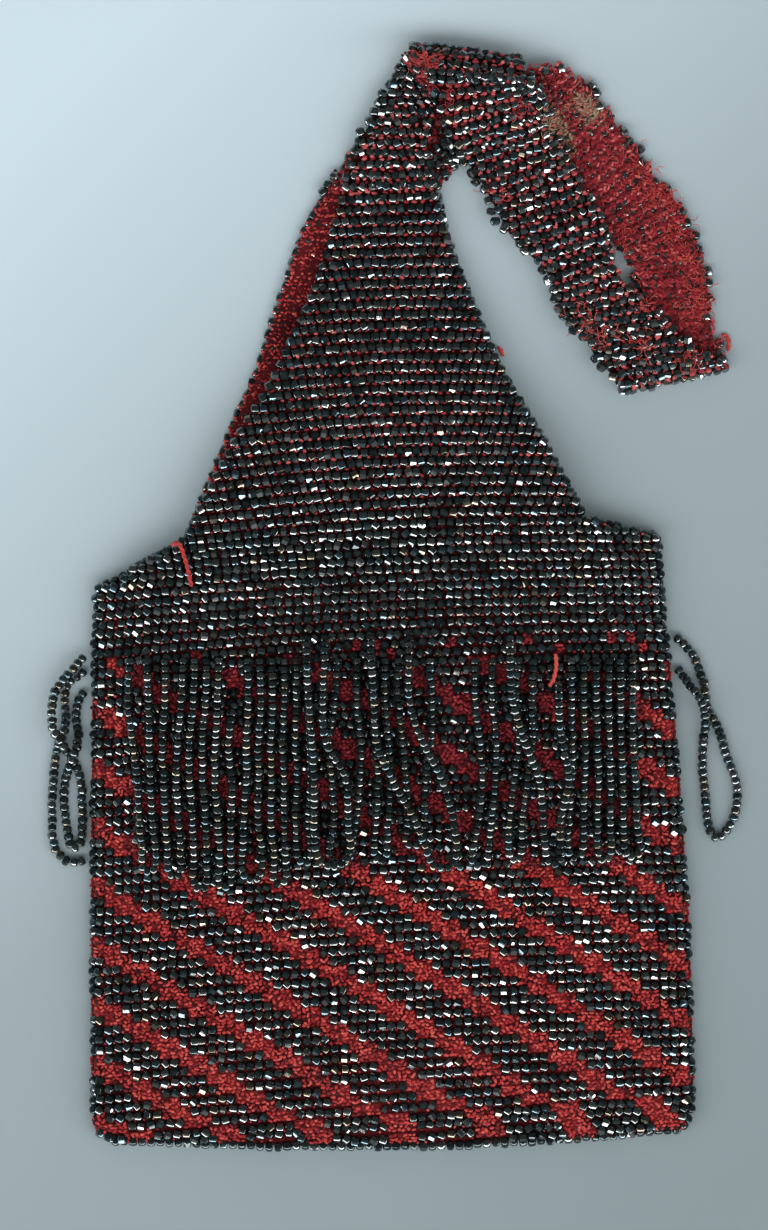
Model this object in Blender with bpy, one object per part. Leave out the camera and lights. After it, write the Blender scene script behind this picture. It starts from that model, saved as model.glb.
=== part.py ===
"""Beaded evening purse of bead crochet, lying flat on its back.

Solids: the crocheted pouch with its two tapering tops, the wrist strap folded forward over its own
top, the fringe of bead loops, the longer bead loops at the sides and a few loose yarn ends.
Lengths are in millimetres and become metres where a mesh is made. X runs across the pouch to the
right, Y towards the strap, and Z up from the table that the back of the pouch rests on.
"""
import math

import bmesh
import bpy
import numpy as np

METRES = 0.001

# Fabric and beads
WALL = 2.4              # bead crochet from its bare face to the tops of its beads
GAP = 0.3               # what two pieces that touch keep between them
TABLE_GAP = 0.05        # the same between a strand or a yarn end and the table
CROSS_GAP = 0.4         # the same where two side strands cross
BEAD = 2.2              # across one cut bead
YARN = 1.0              # across a loose yarn end
ROOM = 5.5              # how far the two walls stand apart in the middle, over the gap
RIDGE = 1.0             # how far a row of beads stands over the yarn between rows
POUCH_EDGE = 1.2        # rounding of the pouch's side edges
TAPER_EDGE = 0.5        # rounding of the tapering tops' edges
TAPER_HEM = 0.3         # the same on their bare faces

# Rows of the pouch: row number, left end x and y, right end x and y
POUCH_ROWS = (
    (0, 45.0, -67.3, 67.5, -65.2),
    (1, 10.0, -69.3, 68.8, -63.0),
    (2, -28.0, -69.2, 69.5, -60.8),
    (3, -64.0, -68.0, 69.7, -58.5),
    (4, -68.3, -65.6, 69.8, -56.3),
    (6, -69.6, -61.2, 69.8, -51.8),
    (20, -69.7, -29.3, 69.0, -20.9),
    (36, -69.6, 7.2, 66.8, 14.6),
    (54, -69.2, 48.3, 63.4, 54.5),
    (61, -68.8, 60.5, 61.8, 72.9),
)
FRONT_TOP_ROWS = (
    (65, -48.3, 71.8, 45.1, 76.8),
    (74, -36.6, 95.0, 34.0, 97.5),
    (79, -28.5, 107.8, 26.5, 109.5),
    (85, -21.2, 123.3, 19.8, 124.5),
    (91, -15.4, 138.2, 13.8, 139.0),
    (96, -12.0, 150.7, 10.4, 151.8),
)
BACK_TOP_ROWS = (
    (65, -48.3, 71.8, 45.1, 76.8),
    (74, -37.8, 97.6, 33.4, 98.4),
    (79, -32.2, 109.8, 26.2, 110.5),
    (85, -26.6, 127.2, 19.4, 126.2),
    (91, -21.2, 142.8, 13.6, 141.0),
    (96, -16.3, 151.0, 11.3, 152.5),
)
CORNER_ROW = 3          # where the bottom edge turns up into the left side
MOUTH_ROW = 61          # above it the front and the back are two separate tops
TIP_ROW = 96            # where the strap is sewn on
ROW_BOW = 1.5           # how far a row's middle stands over its ends
STRIPE_TOP_ROW = 52     # the rows above it are beaded all over
MOUTH_Y = 78.0          # from here up the two tops lean together
BOTTOM_RISE = 28.0      # height over the bottom edge at which the pouch is at its thickest
PILLOW = 6              # how square the pouch's cross-section is
BOW_FIRST_ROW = 3       # rows start to bow here
BOW_RISE = 8            # rows that the bow takes to grow
BOW_FALL = 30           # rows that it takes to fade towards the tips

# Where the faces of the walls have their points: rows, and shares of a row's width
BODY_LINES = (0, 1, 2, 3, 4, 6, 10, 14, 20, 28, 36, 45, 54, MOUTH_ROW)
TOP_LINES = (65, 69, 74, 79, 85, 91, TIP_ROW)
SMOOTH_SHARES = (0.0, 0.12, 0.3, 0.7, 0.88, 1.0)
BODY_SHARES = (0.0, 0.08, 0.24, 0.76, 0.92, 1.0)
TOP_SHARES = (0.0, 0.25, 0.75, 1.0)
ROW_ENDS = (0.0, 1.0)
INNER_BACK_SHARES = (0.0, 0.5, 1.0)
CREST_HALF = 0.25       # rows by which the flat crest of a row on the back reaches up and down

# Diagonal stripes of bare yarn
STRIPE_PITCH = 19.4     # along a row from one stripe to the next
STRIPE_WIDTH = 6.4      # three stitches
STRIPE_SHIFT = 3.28     # along the row, from one row to the next one down
STRIPE_FIRST_ROW = 52.7  # row at whose left end a stripe starts

# Strap, as its left and right edges along its length: x, y and layer of each. Layer 0 lies on the
# table, and each layer more lies on the one below
FLAT, SECOND, THIRD, FOURTH = range(4)
STRAP_ROW = 2.5                      # from one row of beads to the next along the strap
FRONT_STRIP = (
    ((-11.9, 151.1, SECOND), (10.4, 152.2, SECOND)),
    ((-10.8, 155.9, SECOND), (9.4, 156.4, SECOND)),
    ((-8.5, 161.7, SECOND), (9.0, 161.5, SECOND)),
    ((-6.0, 167.4, SECOND), (9.2, 167.4, SECOND)),
    ((-2.5, 173.0, SECOND), (11.3, 173.4, SECOND)),
    ((0.2, 178.0, SECOND), (16.6, 177.0, SECOND)),
)
TOP_FOLD_LEFT = (2.0, 181.4)
TOP_FOLD_RIGHT = (29.2, 177.8)
FRONT_FOLD_END = 0.76                # share of the top fold's line that the front strip takes
BARE_BAND = (
    ((5.5, 176.5, THIRD), (29.5, 177.4, THIRD)),
    ((14.0, 170.5, THIRD), (38.0, 180.4, 0.9)),
    ((22.8, 164.5, 0.9), (42.5, 178.2, 0.15)),
    ((30.1, 159.2, 0.04), (46.5, 175.3, FLAT)),
    ((35.4, 154.1, FLAT), (51.5, 168.4, FLAT)),
    ((40.0, 148.6, FLAT), (56.1, 161.9, FLAT)),
    ((44.9, 143.5, FLAT), (61.2, 155.0, FLAT)),
    ((49.5, 140.3, FLAT), (66.7, 148.8, FLAT)),
    ((52.9, 137.1, FLAT), (69.9, 141.2, FLAT)),
    ((55.7, 132.5, FLAT), (72.2, 134.3, FLAT)),
    ((57.3, 128.1, FLAT), (73.4, 127.9, FLAT)),
    ((57.0, 121.4, FLAT), (73.6, 121.9, FLAT)),
    ((55.2, 113.9, FLAT), (75.7, 115.9, FLAT)),
)
END_FOLD_LEFT = (52.4, 106.7)
END_FOLD_RIGHT = (76.4, 112.5)
BEADED_BAND = (
    ((47.4, 111.8, SECOND), (72.2, 114.3, SECOND)),
    ((45.3, 116.6, SECOND), (65.3, 119.6, SECOND)),
    ((40.9, 120.3, SECOND), (60.5, 124.7, SECOND)),
    ((38.0, 124.2, SECOND), (56.1, 128.8, SECOND)),
    ((36.6, 129.3, SECOND), (51.5, 134.6, SECOND)),
    ((33.6, 134.1, SECOND), (50.1, 139.6, SECOND)),
    ((29.9, 137.5, SECOND), (49.7, 144.0, SECOND)),
    ((26.2, 141.5, SECOND), (46.5, 148.6, SECOND)),
    ((22.5, 148.4, SECOND), (42.1, 155.9, SECOND)),
    ((19.8, 153.2, 1.15), (40.3, 160.3, 1.15)),
    ((16.3, 158.2, 1.6), (38.0, 166.0, 1.6)),
    ((12.7, 163.3, 2.5), (36.1, 170.7, 2.5)),
    ((10.6, 169.7, FOURTH), (34.3, 174.8, FOURTH)),
    ((8.7, 176.3, FOURTH), (32.0, 176.6, FOURTH)),
)
BACK_FOLD_START = 0.08               # share of the top fold's line where the back strip begins
BACK_STRIP = (
    ((0.2, 173.7, FLAT), (24.2, 174.0, FLAT)),
    ((-4.6, 166.8, FLAT), (20.2, 168.4, FLAT)),
    ((-9.2, 161.0, FLAT), (17.5, 163.3, FLAT)),
    ((-12.9, 155.9, FLAT), (15.4, 158.7, FLAT)),
    ((-16.2, 151.4, FLAT), (11.8, 153.0, FLAT)),
)
STRAP_EDGE = 0.5                     # rounding of the strap's edges

# Fringe: each loop's layer on the pouch, then for each leg the height of its top and its x at the
# heights below, and the height of the loop's lowest point
LEG_HEIGHTS = (43.7, 34.5, 25.3, 16.1, 6.9, 0.0)
FRINGE_LOOPS = (
    (1, 44.2, (-60.3, -60.7, -59.6, -58.4, -58.0, -57.3),
     44.2, (-56.4, -55.9, -55.7, -55.4, -55.0, -54.3), -5.1),
    (1, 44.2, (-52.0, -52.2, -52.7, -52.4, -52.0, -51.5),
     44.2, (-48.1, -48.3, -49.2, -49.5, -49.0, -48.5), -6.0),
    (1, 44.2, (-45.3, -45.5, -46.5, -46.5, -45.8, -45.5),
     44.2, (-42.6, -42.8, -43.5, -43.5, -42.8, -42.6), -9.0),
    (1, 44.2, (-39.8, -40.0, -40.5, -40.7, -40.0, -39.6),
     34.0, (-35.9, -35.9, -37.5, -36.8, -37.0, -37.0), -8.7),
    (1, 44.2, (-33.1, -33.0, -33.4, -33.4, -34.0, -34.3),
     44.2, (-30.4, -30.1, -30.6, -30.6, -30.8, -29.9), -6.9),
    (1, 44.2, (-27.6, -27.4, -27.8, -27.6, -27.8, -27.1),
     44.2, (-24.8, -24.6, -25.1, -24.8, -24.8, -24.4), -7.8),
    (1, 44.2, (-21.9, -21.9, -22.1, -21.6, -22.1, -21.6),
     36.8, (-19.0, -19.1, -19.1, -18.6, -19.1, -18.6), -2.8),
    (1, 44.2, (-12.7, -13.1, -14.5, -13.8, -13.3, -14.3),
     44.2, (-8.1, -8.1, -7.1, -7.4, -8.3, -9.7), -3.2),
    (1, 44.2, (-4.4, -4.4, -3.9, -3.2, -3.7, -4.1),
     44.2, (-1.6, -1.6, -0.9, -0.2, -0.9, -1.4), -2.5),
    (1, 44.2, (1.4, 1.4, 2.3, 3.2, 3.7, 3.2),
     44.2, (8.7, 9.0, 9.0, 7.6, 7.4, 6.7), 0.9),
    (1, 44.2, (19.1, 19.1, 20.0, 20.7, 19.8, 18.4),
     44.2, (23.2, 23.0, 23.9, 23.7, 22.8, 21.6), -3.7),
    (1, 44.2, (29.0, 28.5, 29.2, 28.1, 27.1, 26.9),
     44.2, (32.4, 32.2, 32.2, 31.1, 29.9, 29.7), -2.3),
    (1, 44.2, (41.2, 41.2, 41.4, 41.2, 40.5, 40.5),
     44.2, (44.0, 44.0, 44.3, 44.2, 43.9, 43.7), -1.6),
    (1, 44.2, (46.9, 46.8, 47.1, 47.4, 47.1, 47.4),
     44.2, (49.8, 49.7, 49.9, 50.1, 50.1, 50.1), -2.3),
    (1, 44.2, (52.4, 52.4, 52.6, 53.0, 53.1, 53.4),
     44.2, (55.2, 55.2, 55.2, 55.8, 56.1, 57.0), -1.6),
    (2, 49.2, (-19.6, -19.1, -18.4, -17.9, -17.9, -17.5),
     49.2, (-15.4, -15.9, -15.2, -10.6, -10.1, -9.7), -3.7),
    (2, 49.2, (-4.8, -4.1, -3.7, 0.2, 5.3, 8.3),
     49.2, (3.9, 3.9, 6.9, 11.5, 14.0, 14.7), -4.1),
    (2, 49.2, (27.1, 27.6, 30.4, 33.8, 34.7, 35.6),
     38.6, (39.5, 37.2, 38.9, 40.5, 38.6, 38.6), -3.2),
)
LEG_STEP = 9.0          # between the points of a strand's straight stretches
UPPER_RISE = 4.5        # along an upper strand, from the fabric to the layer that it lies in

# Bead loops at the sides: x, y and layer, 0 on the table and 1 over another strand
LOW, HIGH = 0, 1
LEFT_LOOP_INNER = (
    (-70.8, 44.9, HIGH), (-73.1, 41.9, HIGH), (-75.9, 38.9, HIGH), (-77.7, 35.9, HIGH),
    (-78.4, 30.8, HIGH), (-77.7, 26.9, HIGH), (-75.9, 24.2, HIGH), (-74.5, 22.2, 0.37),
    (-73.4, 20.6, LOW), (-72.4, 18.4, LOW), (-71.6, 15.6, LOW), (-71.4, 10.4, LOW),
    (-71.4, 6.9, LOW), (-71.5, 3.4, LOW), (-72.2, 0.9, LOW), (-73.3, 0.2, LOW),
    (-74.2, 1.1, LOW), (-74.6, 3.6, LOW), (-75.2, 7.4, LOW), (-75.5, 12.9, LOW),
    (-75.1, 16.6, LOW), (-74.4, 18.9, 0.8), (-73.6, 20.9, HIGH), (-72.8, 23.0, HIGH),
    (-72.4, 25.3, 0.33), (-72.5, 28.8, LOW), (-72.6, 32.7, LOW), (-71.7, 35.2, LOW),
    (-70.7, 36.5, LOW),
)
LEFT_LOOP_OUTER = (
    (-70.5, 41.4, LOW), (-72.2, 40.0, LOW), (-74.5, 38.2, LOW), (-75.4, 35.7, LOW),
    (-75.2, 30.8, LOW), (-75.7, 26.9, LOW), (-77.1, 23.2, LOW), (-77.7, 18.9, LOW),
    (-78.2, 12.9, LOW), (-78.4, 6.9, LOW), (-78.2, 2.8, LOW), (-76.8, -0.9, LOW),
    (-74.5, -2.8, LOW), (-72.2, -2.9, LOW), (-70.8, -2.1, LOW),
)
RIGHT_LOOP = (
    (65.3, 49.2, LOW), (67.4, 47.2, LOW), (69.5, 44.6, LOW), (70.8, 41.4, LOW),
    (72.0, 37.7, LOW), (72.2, 34.5, LOW), (73.4, 31.3, LOW), (75.2, 27.8, LOW),
    (76.4, 23.9, LOW), (77.7, 20.0, LOW), (79.1, 16.3, LOW), (79.6, 12.6, LOW),
    (79.1, 8.7, LOW), (77.7, 5.5, LOW), (76.4, 3.5, LOW), (74.8, 2.8, LOW),
    (73.4, 4.1, LOW), (72.7, 6.9, LOW), (72.2, 11.5, LOW), (71.8, 16.1, LOW),
    (71.5, 21.4, LOW), (71.8, 25.8, 0.13), (72.2, 29.4, 0.83), (71.8, 32.9, HIGH),
    (70.6, 35.4, HIGH), (68.5, 37.9, 0.56), (67.0, 39.9, 0.13), (65.6, 41.9, LOW),
)

# Loose yarn ends: x, y and how high the yarn's middle lies over what carries it
YARN_REST = YARN / 2 + GAP
SHOULDER_TAIL = ((-50.8, 69.9), (-49.2, 70.6), (-47.4, 66.5), (-46.0, 60.5))
FRINGE_TAIL = ((37.5, 45.3), (37.7, 42.3), (37.0, 39.1), (36.0, 37.6))
STRAP_TAIL = ((75.8, 118.7), (77.2, 118.2), (77.6, 116.6), (77.5, 114.8))
TOP_TAIL = ((24.3, 115.9), (25.2, 114.9), (25.6, 113.6))
TAIL_STEP = 1.8

# Colours: red, green, blue
RED_YARN = (0.46, 0.045, 0.05)
GUNMETAL = (0.045, 0.06, 0.058)


def lerp(a, b, share):
    """Point between a and b at a share of the way."""
    return tuple(p + (q - p) * share for p, q in zip(a, b))


def ease(value):
    """Smooth step from 0 to 1."""
    value = min(max(value, 0.0), 1.0)
    return value * value * (3.0 - 2.0 * value)


def smooth_path(points, step):
    """Points about one step apart on a centripetal spline through the given ones."""
    points = [np.array(p, dtype=float) for p in points]
    ends = [2 * points[0] - points[1]] + points + [2 * points[-1] - points[-2]]
    path = []
    for a, b, c, d in zip(ends, ends[1:], ends[2:], ends[3:]):
        t1 = math.sqrt(np.linalg.norm(b - a))
        t2 = t1 + math.sqrt(np.linalg.norm(c - b))
        t3 = t2 + math.sqrt(np.linalg.norm(d - c))
        count = max(1, round(np.linalg.norm(c - b) / step))
        for number in range(count):
            t = t1 + (t2 - t1) * number / count
            ab = a * (t1 - t) / t1 + b * t / t1
            bc = b * (t2 - t) / (t2 - t1) + c * (t - t1) / (t2 - t1)
            cd = c * (t3 - t) / (t3 - t2) + d * (t - t2) / (t3 - t2)
            first = ab * (t2 - t) / t2 + bc * t / t2
            second = bc * (t3 - t) / (t3 - t1) + cd * (t - t1) / (t3 - t1)
            path.append(first * (t2 - t) / (t2 - t1) + second * (t - t1) / (t2 - t1))
    path.append(points[-1])
    return path


def finish(name, colour, roughness, metallic=0.0):
    """A Principled material of its own for one object."""
    material = bpy.data.materials.new(name)
    material.use_nodes = True
    shader = material.node_tree.nodes["Principled BSDF"]
    shader.inputs["Base Color"].default_value = (*colour, 1.0)
    shader.inputs["Roughness"].default_value = roughness
    shader.inputs["Metallic"].default_value = metallic
    return material


def add_object(name, data, material):
    """Link an object with the one material to the scene."""
    data.materials.append(material)
    piece = bpy.data.objects.new(name, data)
    bpy.context.scene.collection.objects.link(piece)
    return piece


class Solid:
    """Vertices and faces of one closed solid, in millimetres."""

    def __init__(self):
        self.points = []
        self.faces = []

    def line(self, points):
        """Add a line of points and return their numbers."""
        first = len(self.points)
        self.points.extend(points)
        return list(range(first, len(self.points)))

    def zip(self, one, other):
        """Join two lines, of any number of points each, with triangles."""
        i = j = 0
        while i < len(one) - 1 or j < len(other) - 1:
            if j == len(other) - 1:
                along_one = True
            elif i == len(one) - 1:
                along_one = False
            else:
                along_one = self.span(one[i + 1], other[j]) <= self.span(one[i], other[j + 1])
            face = (one[i], one[i + 1], other[j]) if along_one else (one[i], other[j + 1], other[j])
            if len(set(face)) == 3:
                self.faces.append(face)
            i, j = (i + 1, j) if along_one else (i, j + 1)

    def span(self, a, b):
        """Distance between two points, by their numbers."""
        return math.dist(self.points[a], self.points[b])

    def build(self, name, material):
        """Make the object, with its faces turned outwards."""
        mesh = bpy.data.meshes.new(name)
        mesh.from_pydata([[v * METRES for v in p] for p in self.points], [], self.faces)
        edit = bmesh.new()
        edit.from_mesh(mesh)
        bmesh.ops.recalc_face_normals(edit, faces=edit.faces)
        edit.to_mesh(mesh)
        edit.free()
        return add_object(name, mesh, material)


# Pouch

def row_ends(rows, row):
    """Left and right end of a row on the outline."""
    numbers = [r[0] for r in rows]
    lx, ly, rx, ry = (np.interp(row, numbers, [r[i] for r in rows]) for i in (1, 2, 3, 4))
    return (lx, ly), (rx, ry)


def inset_ends(rows, row, amount):
    """A row's ends, moved in from the outline at right angles to it."""
    step = 0.5
    low, high = max(row - step, 0), min(row + step, TIP_ROW)
    before, after, ends = row_ends(rows, low), row_ends(rows, high), row_ends(rows, row)
    moved = []
    for side, sign in ((0, 1), (1, -1)):
        dx, dy = (after[side][i] - before[side][i] for i in (0, 1))
        length = math.hypot(dx, dy)
        x, y = ends[side]
        moved.append((x + sign * amount * dy / length, y - sign * amount * dx / length))
    if row == 0:
        moved[1] = (moved[1][0], moved[1][1] + amount)
    return moved


def room(x, y):
    """Height of the space between the two walls."""
    left_side = [r for r in POUCH_ROWS if r[0] >= CORNER_ROW]
    left = np.interp(y, [r[2] for r in left_side], [r[1] for r in left_side])
    right = np.interp(y, [r[4] for r in POUCH_ROWS], [r[3] for r in POUCH_ROWS])
    off_middle = min(abs(2 * x - left - right) / (right - left), 1.0)
    tip_y = FRONT_TOP_ROWS[-1][2]
    bottom_y = min(r[2] for r in POUCH_ROWS)
    rise = ease((y - bottom_y) / BOTTOM_RISE)
    fall = ease((tip_y - y) / (tip_y - MOUTH_Y))
    return GAP + ROOM * (1.0 - off_middle ** PILLOW) * rise * fall


def front_height(x, y):
    """Height of the front wall's bead tops."""
    return 2 * WALL + room(x, y)


def row_bow(row):
    """How far a row's middle stands over the line between its ends."""
    return ROW_BOW * ease((row - BOW_FIRST_ROW) / BOW_RISE) * ease((TIP_ROW - row) / BOW_FALL)


def row_point(rows, row, share, amount):
    """Plan position on a row, at a share of its width, inside the inset outline."""
    left, right = inset_ends(rows, row, amount)
    x, y = lerp(left, right, share)
    return x, y + row_bow(row) * 4 * share * (1 - share)


def stripe_shares(row, width):
    """Shares of a row's width at each stripe's left border, middle and right border."""
    shares = []
    middle = STRIPE_SHIFT * (STRIPE_FIRST_ROW - row) % STRIPE_PITCH
    while middle < width - STRIPE_WIDTH:
        if middle > STRIPE_WIDTH:
            for offset, sunk in ((-STRIPE_WIDTH / 2, 0), (0.0, 1), (STRIPE_WIDTH / 2, 0)):
                shares.append(((middle + offset) / width, sunk))
        middle += STRIPE_PITCH
    return shares


def front_line(solid, rows, row, crest, inset):
    """One line of the front wall's outer face: the crest of a row of beads or the valley by it."""
    left, right = inset_ends(rows, row, inset)
    marks = [(share, 0) for share in (BODY_SHARES if row <= TOP_LINES[0] else TOP_SHARES)]
    if row < STRIPE_TOP_ROW:
        stripes = stripe_shares(row, math.dist(left, right))
        if not crest:
            stripes = [mark for mark in stripes if mark[1]]
        marks = [(0.0, 0)] + stripes + [(1.0, 0)]
    points = []
    for share, sunk in marks:
        x, y = row_point(rows, row, share, inset)
        low = RIDGE if sunk or not crest else 0.0
        points.append((x, y, front_height(x, y) - low))
    return solid.line(points)


def flat_line(solid, rows, row, inset, shares, height):
    """One line of a wall's smooth face, at the height that a function of x and y gives."""
    points = []
    for share in shares:
        x, y = row_point(rows, row, share, inset)
        points.append((x, y, height(x, y)))
    return solid.line(points)


def back_face(solid, rows):
    """Lines of the back wall's outer face, those of the body and those of its tapering top.

    The rows run on round the pouch, so they lie half a row over the front's: a row's crest, flat on
    the table, is at a whole row, and the valley over it half a row further up.
    """
    def line(row, height, inset):
        return flat_line(solid, rows, row, inset, ROW_ENDS, lambda x, y: height)

    body = [line(0, 0.0, POUCH_EDGE)]
    for row in range(MOUTH_ROW):
        body.append(line(row + CREST_HALF, 0.0, POUCH_EDGE))
        body.append(line(row + 0.5, RIDGE, POUCH_EDGE))
        body.append(line(row + 1 - CREST_HALF, 0.0, POUCH_EDGE))
    body.append(line(MOUTH_ROW, 0.0, POUCH_EDGE))
    top = [body[-1]]
    for row in range(MOUTH_ROW, TIP_ROW):
        top.append(line(row + 0.5, RIDGE, TAPER_EDGE))
        top.append(line(row + 1, 0.0, TAPER_EDGE))
    return body, top


def zip_sheet(solid, lines):
    """Join each line of a face to the next."""
    for line, following in zip(lines, lines[1:]):
        solid.zip(line, following)


def border(lines):
    """Down the left ends of a face's lines, along the first line and up the right ends."""
    left = [line[0] for line in reversed(lines)]
    right = [line[-1] for line in lines]
    return left + lines[0][1:-1] + right


def cap_border(lines):
    """Up the left ends of a face's lines, along the last line and down the right ends."""
    left = [line[0] for line in lines]
    right = [line[-1] for line in reversed(lines)]
    return left + lines[-1][1:-1] + right


def smooth_face(solid, rows, shares, height):
    """Lines of a wall's bare inner face, those of the body and those of its tapering top."""
    body = [flat_line(solid, rows, row, WALL, shares, height) for row in BODY_LINES]
    top = [flat_line(solid, rows, row, TAPER_HEM, shares, height) for row in TOP_LINES]
    return body, body[-1:] + top


def make_pouch():
    """Front and back wall, joined round the sides and bottom, each with its tapering top."""
    solid = Solid()
    front_rows = POUCH_ROWS + FRONT_TOP_ROWS
    back_rows = POUCH_ROWS + BACK_TOP_ROWS

    outer_body = []
    for half in range(2 * MOUTH_ROW + 1):
        outer_body.append(front_line(solid, front_rows, half / 2, half % 2 == 1, POUCH_EDGE))
    outer_top = [outer_body[-1]]
    for half in range(2 * MOUTH_ROW + 1, 2 * TIP_ROW + 1):
        outer_top.append(front_line(solid, front_rows, half / 2, half % 2 == 1, TAPER_EDGE))

    inner_front = smooth_face(solid, front_rows, SMOOTH_SHARES, lambda x, y: WALL + room(x, y))
    inner_back = smooth_face(solid, back_rows, INNER_BACK_SHARES, lambda x, y: WALL)
    outer_back = back_face(solid, back_rows)
    for lower, upper in ((outer_body, outer_top), inner_front, inner_back, outer_back):
        zip_sheet(solid, lower)
        zip_sheet(solid, upper)

    left_rim, right_rim = [], []
    for row in BODY_LINES:
        left, right = row_ends(POUCH_ROWS, row)
        left_rim.append((*left, WALL + GAP / 2))
        right_rim.append((*right, WALL + GAP / 2))
    rim = solid.line(left_rim[::-1] + right_rim)
    solid.zip(border(outer_body), rim)
    solid.zip(rim, border(outer_back[0]))
    solid.zip(border(inner_front[0]), border(inner_back[0]))
    solid.zip(cap_border(outer_top), cap_border(inner_front[1]))
    solid.zip(cap_border(inner_back[1]), cap_border(outer_back[1]))
    for end in (0, -1):
        solid.faces.append((outer_body[-1][end], rim[end], outer_back[0][-1][end],
                            inner_back[0][-1][end], inner_front[0][-1][end]))
    return solid.build("pouch", finish("pouch_crochet", GUNMETAL, 0.35, 0.4))


# Strap

def fold(left, right, low, high, outward):
    """Stations of the strap round a fold, from its lower to its upper layer."""
    stations = []
    layers = (high - low) / 2
    radius = layers * (WALL + GAP)
    for angle in range(0, 181, 45):
        out = radius * math.sin(math.radians(angle))
        layer = low + layers * (1 - math.cos(math.radians(angle)))
        pair = []
        for x, y in (left, right):
            pair.append((x + outward[0] * out, y + outward[1] * out, layer))
        stations.append(tuple(pair))
    return stations


def square_to(left, right, upward):
    """Unit vector at right angles to a fold's line, up or down the page."""
    dx, dy = right[0] - left[0], right[1] - left[1]
    length = math.hypot(dx, dy)
    sign = 1 if upward else -1
    return (-sign * dy / length, sign * dx / length)


def strap_stations():
    """The strap's two edges, in millimetres, from the front top's tip round to the back top's tip."""
    up = square_to(TOP_FOLD_LEFT, TOP_FOLD_RIGHT, True)
    down = square_to(END_FOLD_LEFT, END_FOLD_RIGHT, False)
    front_end = lerp(TOP_FOLD_LEFT, TOP_FOLD_RIGHT, FRONT_FOLD_END)
    back_start = lerp(TOP_FOLD_LEFT, TOP_FOLD_RIGHT, BACK_FOLD_START)
    front_fold = fold(TOP_FOLD_LEFT, front_end, SECOND, THIRD, up)
    end_fold = fold(END_FOLD_LEFT, END_FOLD_RIGHT, FLAT, SECOND, down)
    back_fold = fold(back_start, TOP_FOLD_RIGHT, FLAT, FOURTH, up)
    bands = (FRONT_STRIP, front_fold, BARE_BAND, end_fold, BEADED_BAND, back_fold[::-1], BACK_STRIP)
    stations = []
    for left, right in (station for band in bands for station in band):
        edges = [(x, y, WALL / 2 + layer * (WALL + GAP)) for x, y, layer in (left, right)]
        stations.append(edges[0] + edges[1])
    return stations


def make_strap():
    """One flat band with rows of beads on its outer face, lofted along its two edges."""
    path = smooth_path(strap_stations(), STRAP_ROW / 2 * math.sqrt(2))
    solid = Solid()
    rings = []
    for number, here in enumerate(path):
        before = path[max(number - 1, 0)]
        after = path[min(number + 1, len(path) - 1)]
        left, right = here[:3], here[3:]
        across = (right - left) / np.linalg.norm(right - left)
        along = (after - before)[:3] + (after - before)[3:]
        beaded = np.cross(across, along)
        beaded /= np.linalg.norm(beaded)
        bead_side = WALL / 2 - (0 if number % 2 else RIDGE)
        rim = across * STRAP_EDGE
        rings.append(solid.line([
            left + rim + beaded * bead_side,
            right - rim + beaded * bead_side,
            right,
            right - rim - beaded * WALL / 2,
            left + rim - beaded * WALL / 2,
            left,
        ]))
    for ring, following in zip(rings, rings[1:]):
        for i in range(len(ring)):
            j = (i + 1) % len(ring)
            solid.faces.append((ring[i], ring[j], following[j], following[i]))
    solid.faces.append(tuple(rings[0]))
    solid.faces.append(tuple(rings[-1]))
    return solid.build("wrist_strap", finish("strap_crochet", RED_YARN, 0.8))


# Strands

def make_strand(name, points, step, diameter, sides, material):
    """A round strand with closed ends through the given points."""
    curve = bpy.data.curves.new(name, "CURVE")
    curve.dimensions = "3D"
    curve.bevel_depth = diameter / 2 * METRES
    curve.bevel_resolution = (sides - 4) // 2
    curve.render_resolution_u = 0
    curve.use_fill_caps = True
    path = smooth_path(points, step)
    spline = curve.splines.new("POLY")
    spline.points.add(len(path) - 1)
    for target, point in zip(spline.points, path):
        target.co = (*(v * METRES for v in point), 1.0)
    return add_object(name, curve, material)


def layer_height(x, y, layer):
    """Height of a strand's middle in a layer of the fringe."""
    return front_height(x, y) + GAP + BEAD / 2 + (layer - 1) * (BEAD + GAP)


def fringe_points(layer, left_top, left_xs, right_top, right_xs, lowest):
    """A fringe loop's points: down its left leg, round its foot and up its right leg."""
    foot_left, foot_right = left_xs[-1], right_xs[-1]
    middle = (foot_left + foot_right) / 2
    radius = (foot_right - foot_left) / 2
    foot_y = lowest + radius

    def leg(top, xs):
        points = [(np.interp(-top, [-h for h in LEG_HEIGHTS], xs), top, 1)]
        if layer > 1:
            points.append((np.interp(-top, [-h for h in LEG_HEIGHTS], xs), top - UPPER_RISE, layer))
        for x, y in zip(xs, LEG_HEIGHTS):
            if foot_y + BEAD < y < points[-1][1] - LEG_STEP / 3:
                points.append((x, y, layer))
        return points

    foot = []
    for angle in (0, 60, 120, 180):
        turn = math.radians(angle)
        foot.append((middle - radius * math.cos(turn), foot_y - radius * math.sin(turn), layer))
    points = leg(left_top, left_xs) + foot + leg(right_top, right_xs)[::-1]
    return [(x, y, layer_height(x, y, rank)) for x, y, rank in points]


def make_fringe():
    """The bead loops on the front."""
    for number, loop in enumerate(FRINGE_LOOPS, 1):
        name = f"fringe_loop_{number:02d}"
        material = finish(name, GUNMETAL, 0.25, 0.6)
        make_strand(name, fringe_points(*loop), LEG_STEP, BEAD, 6, material)


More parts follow.
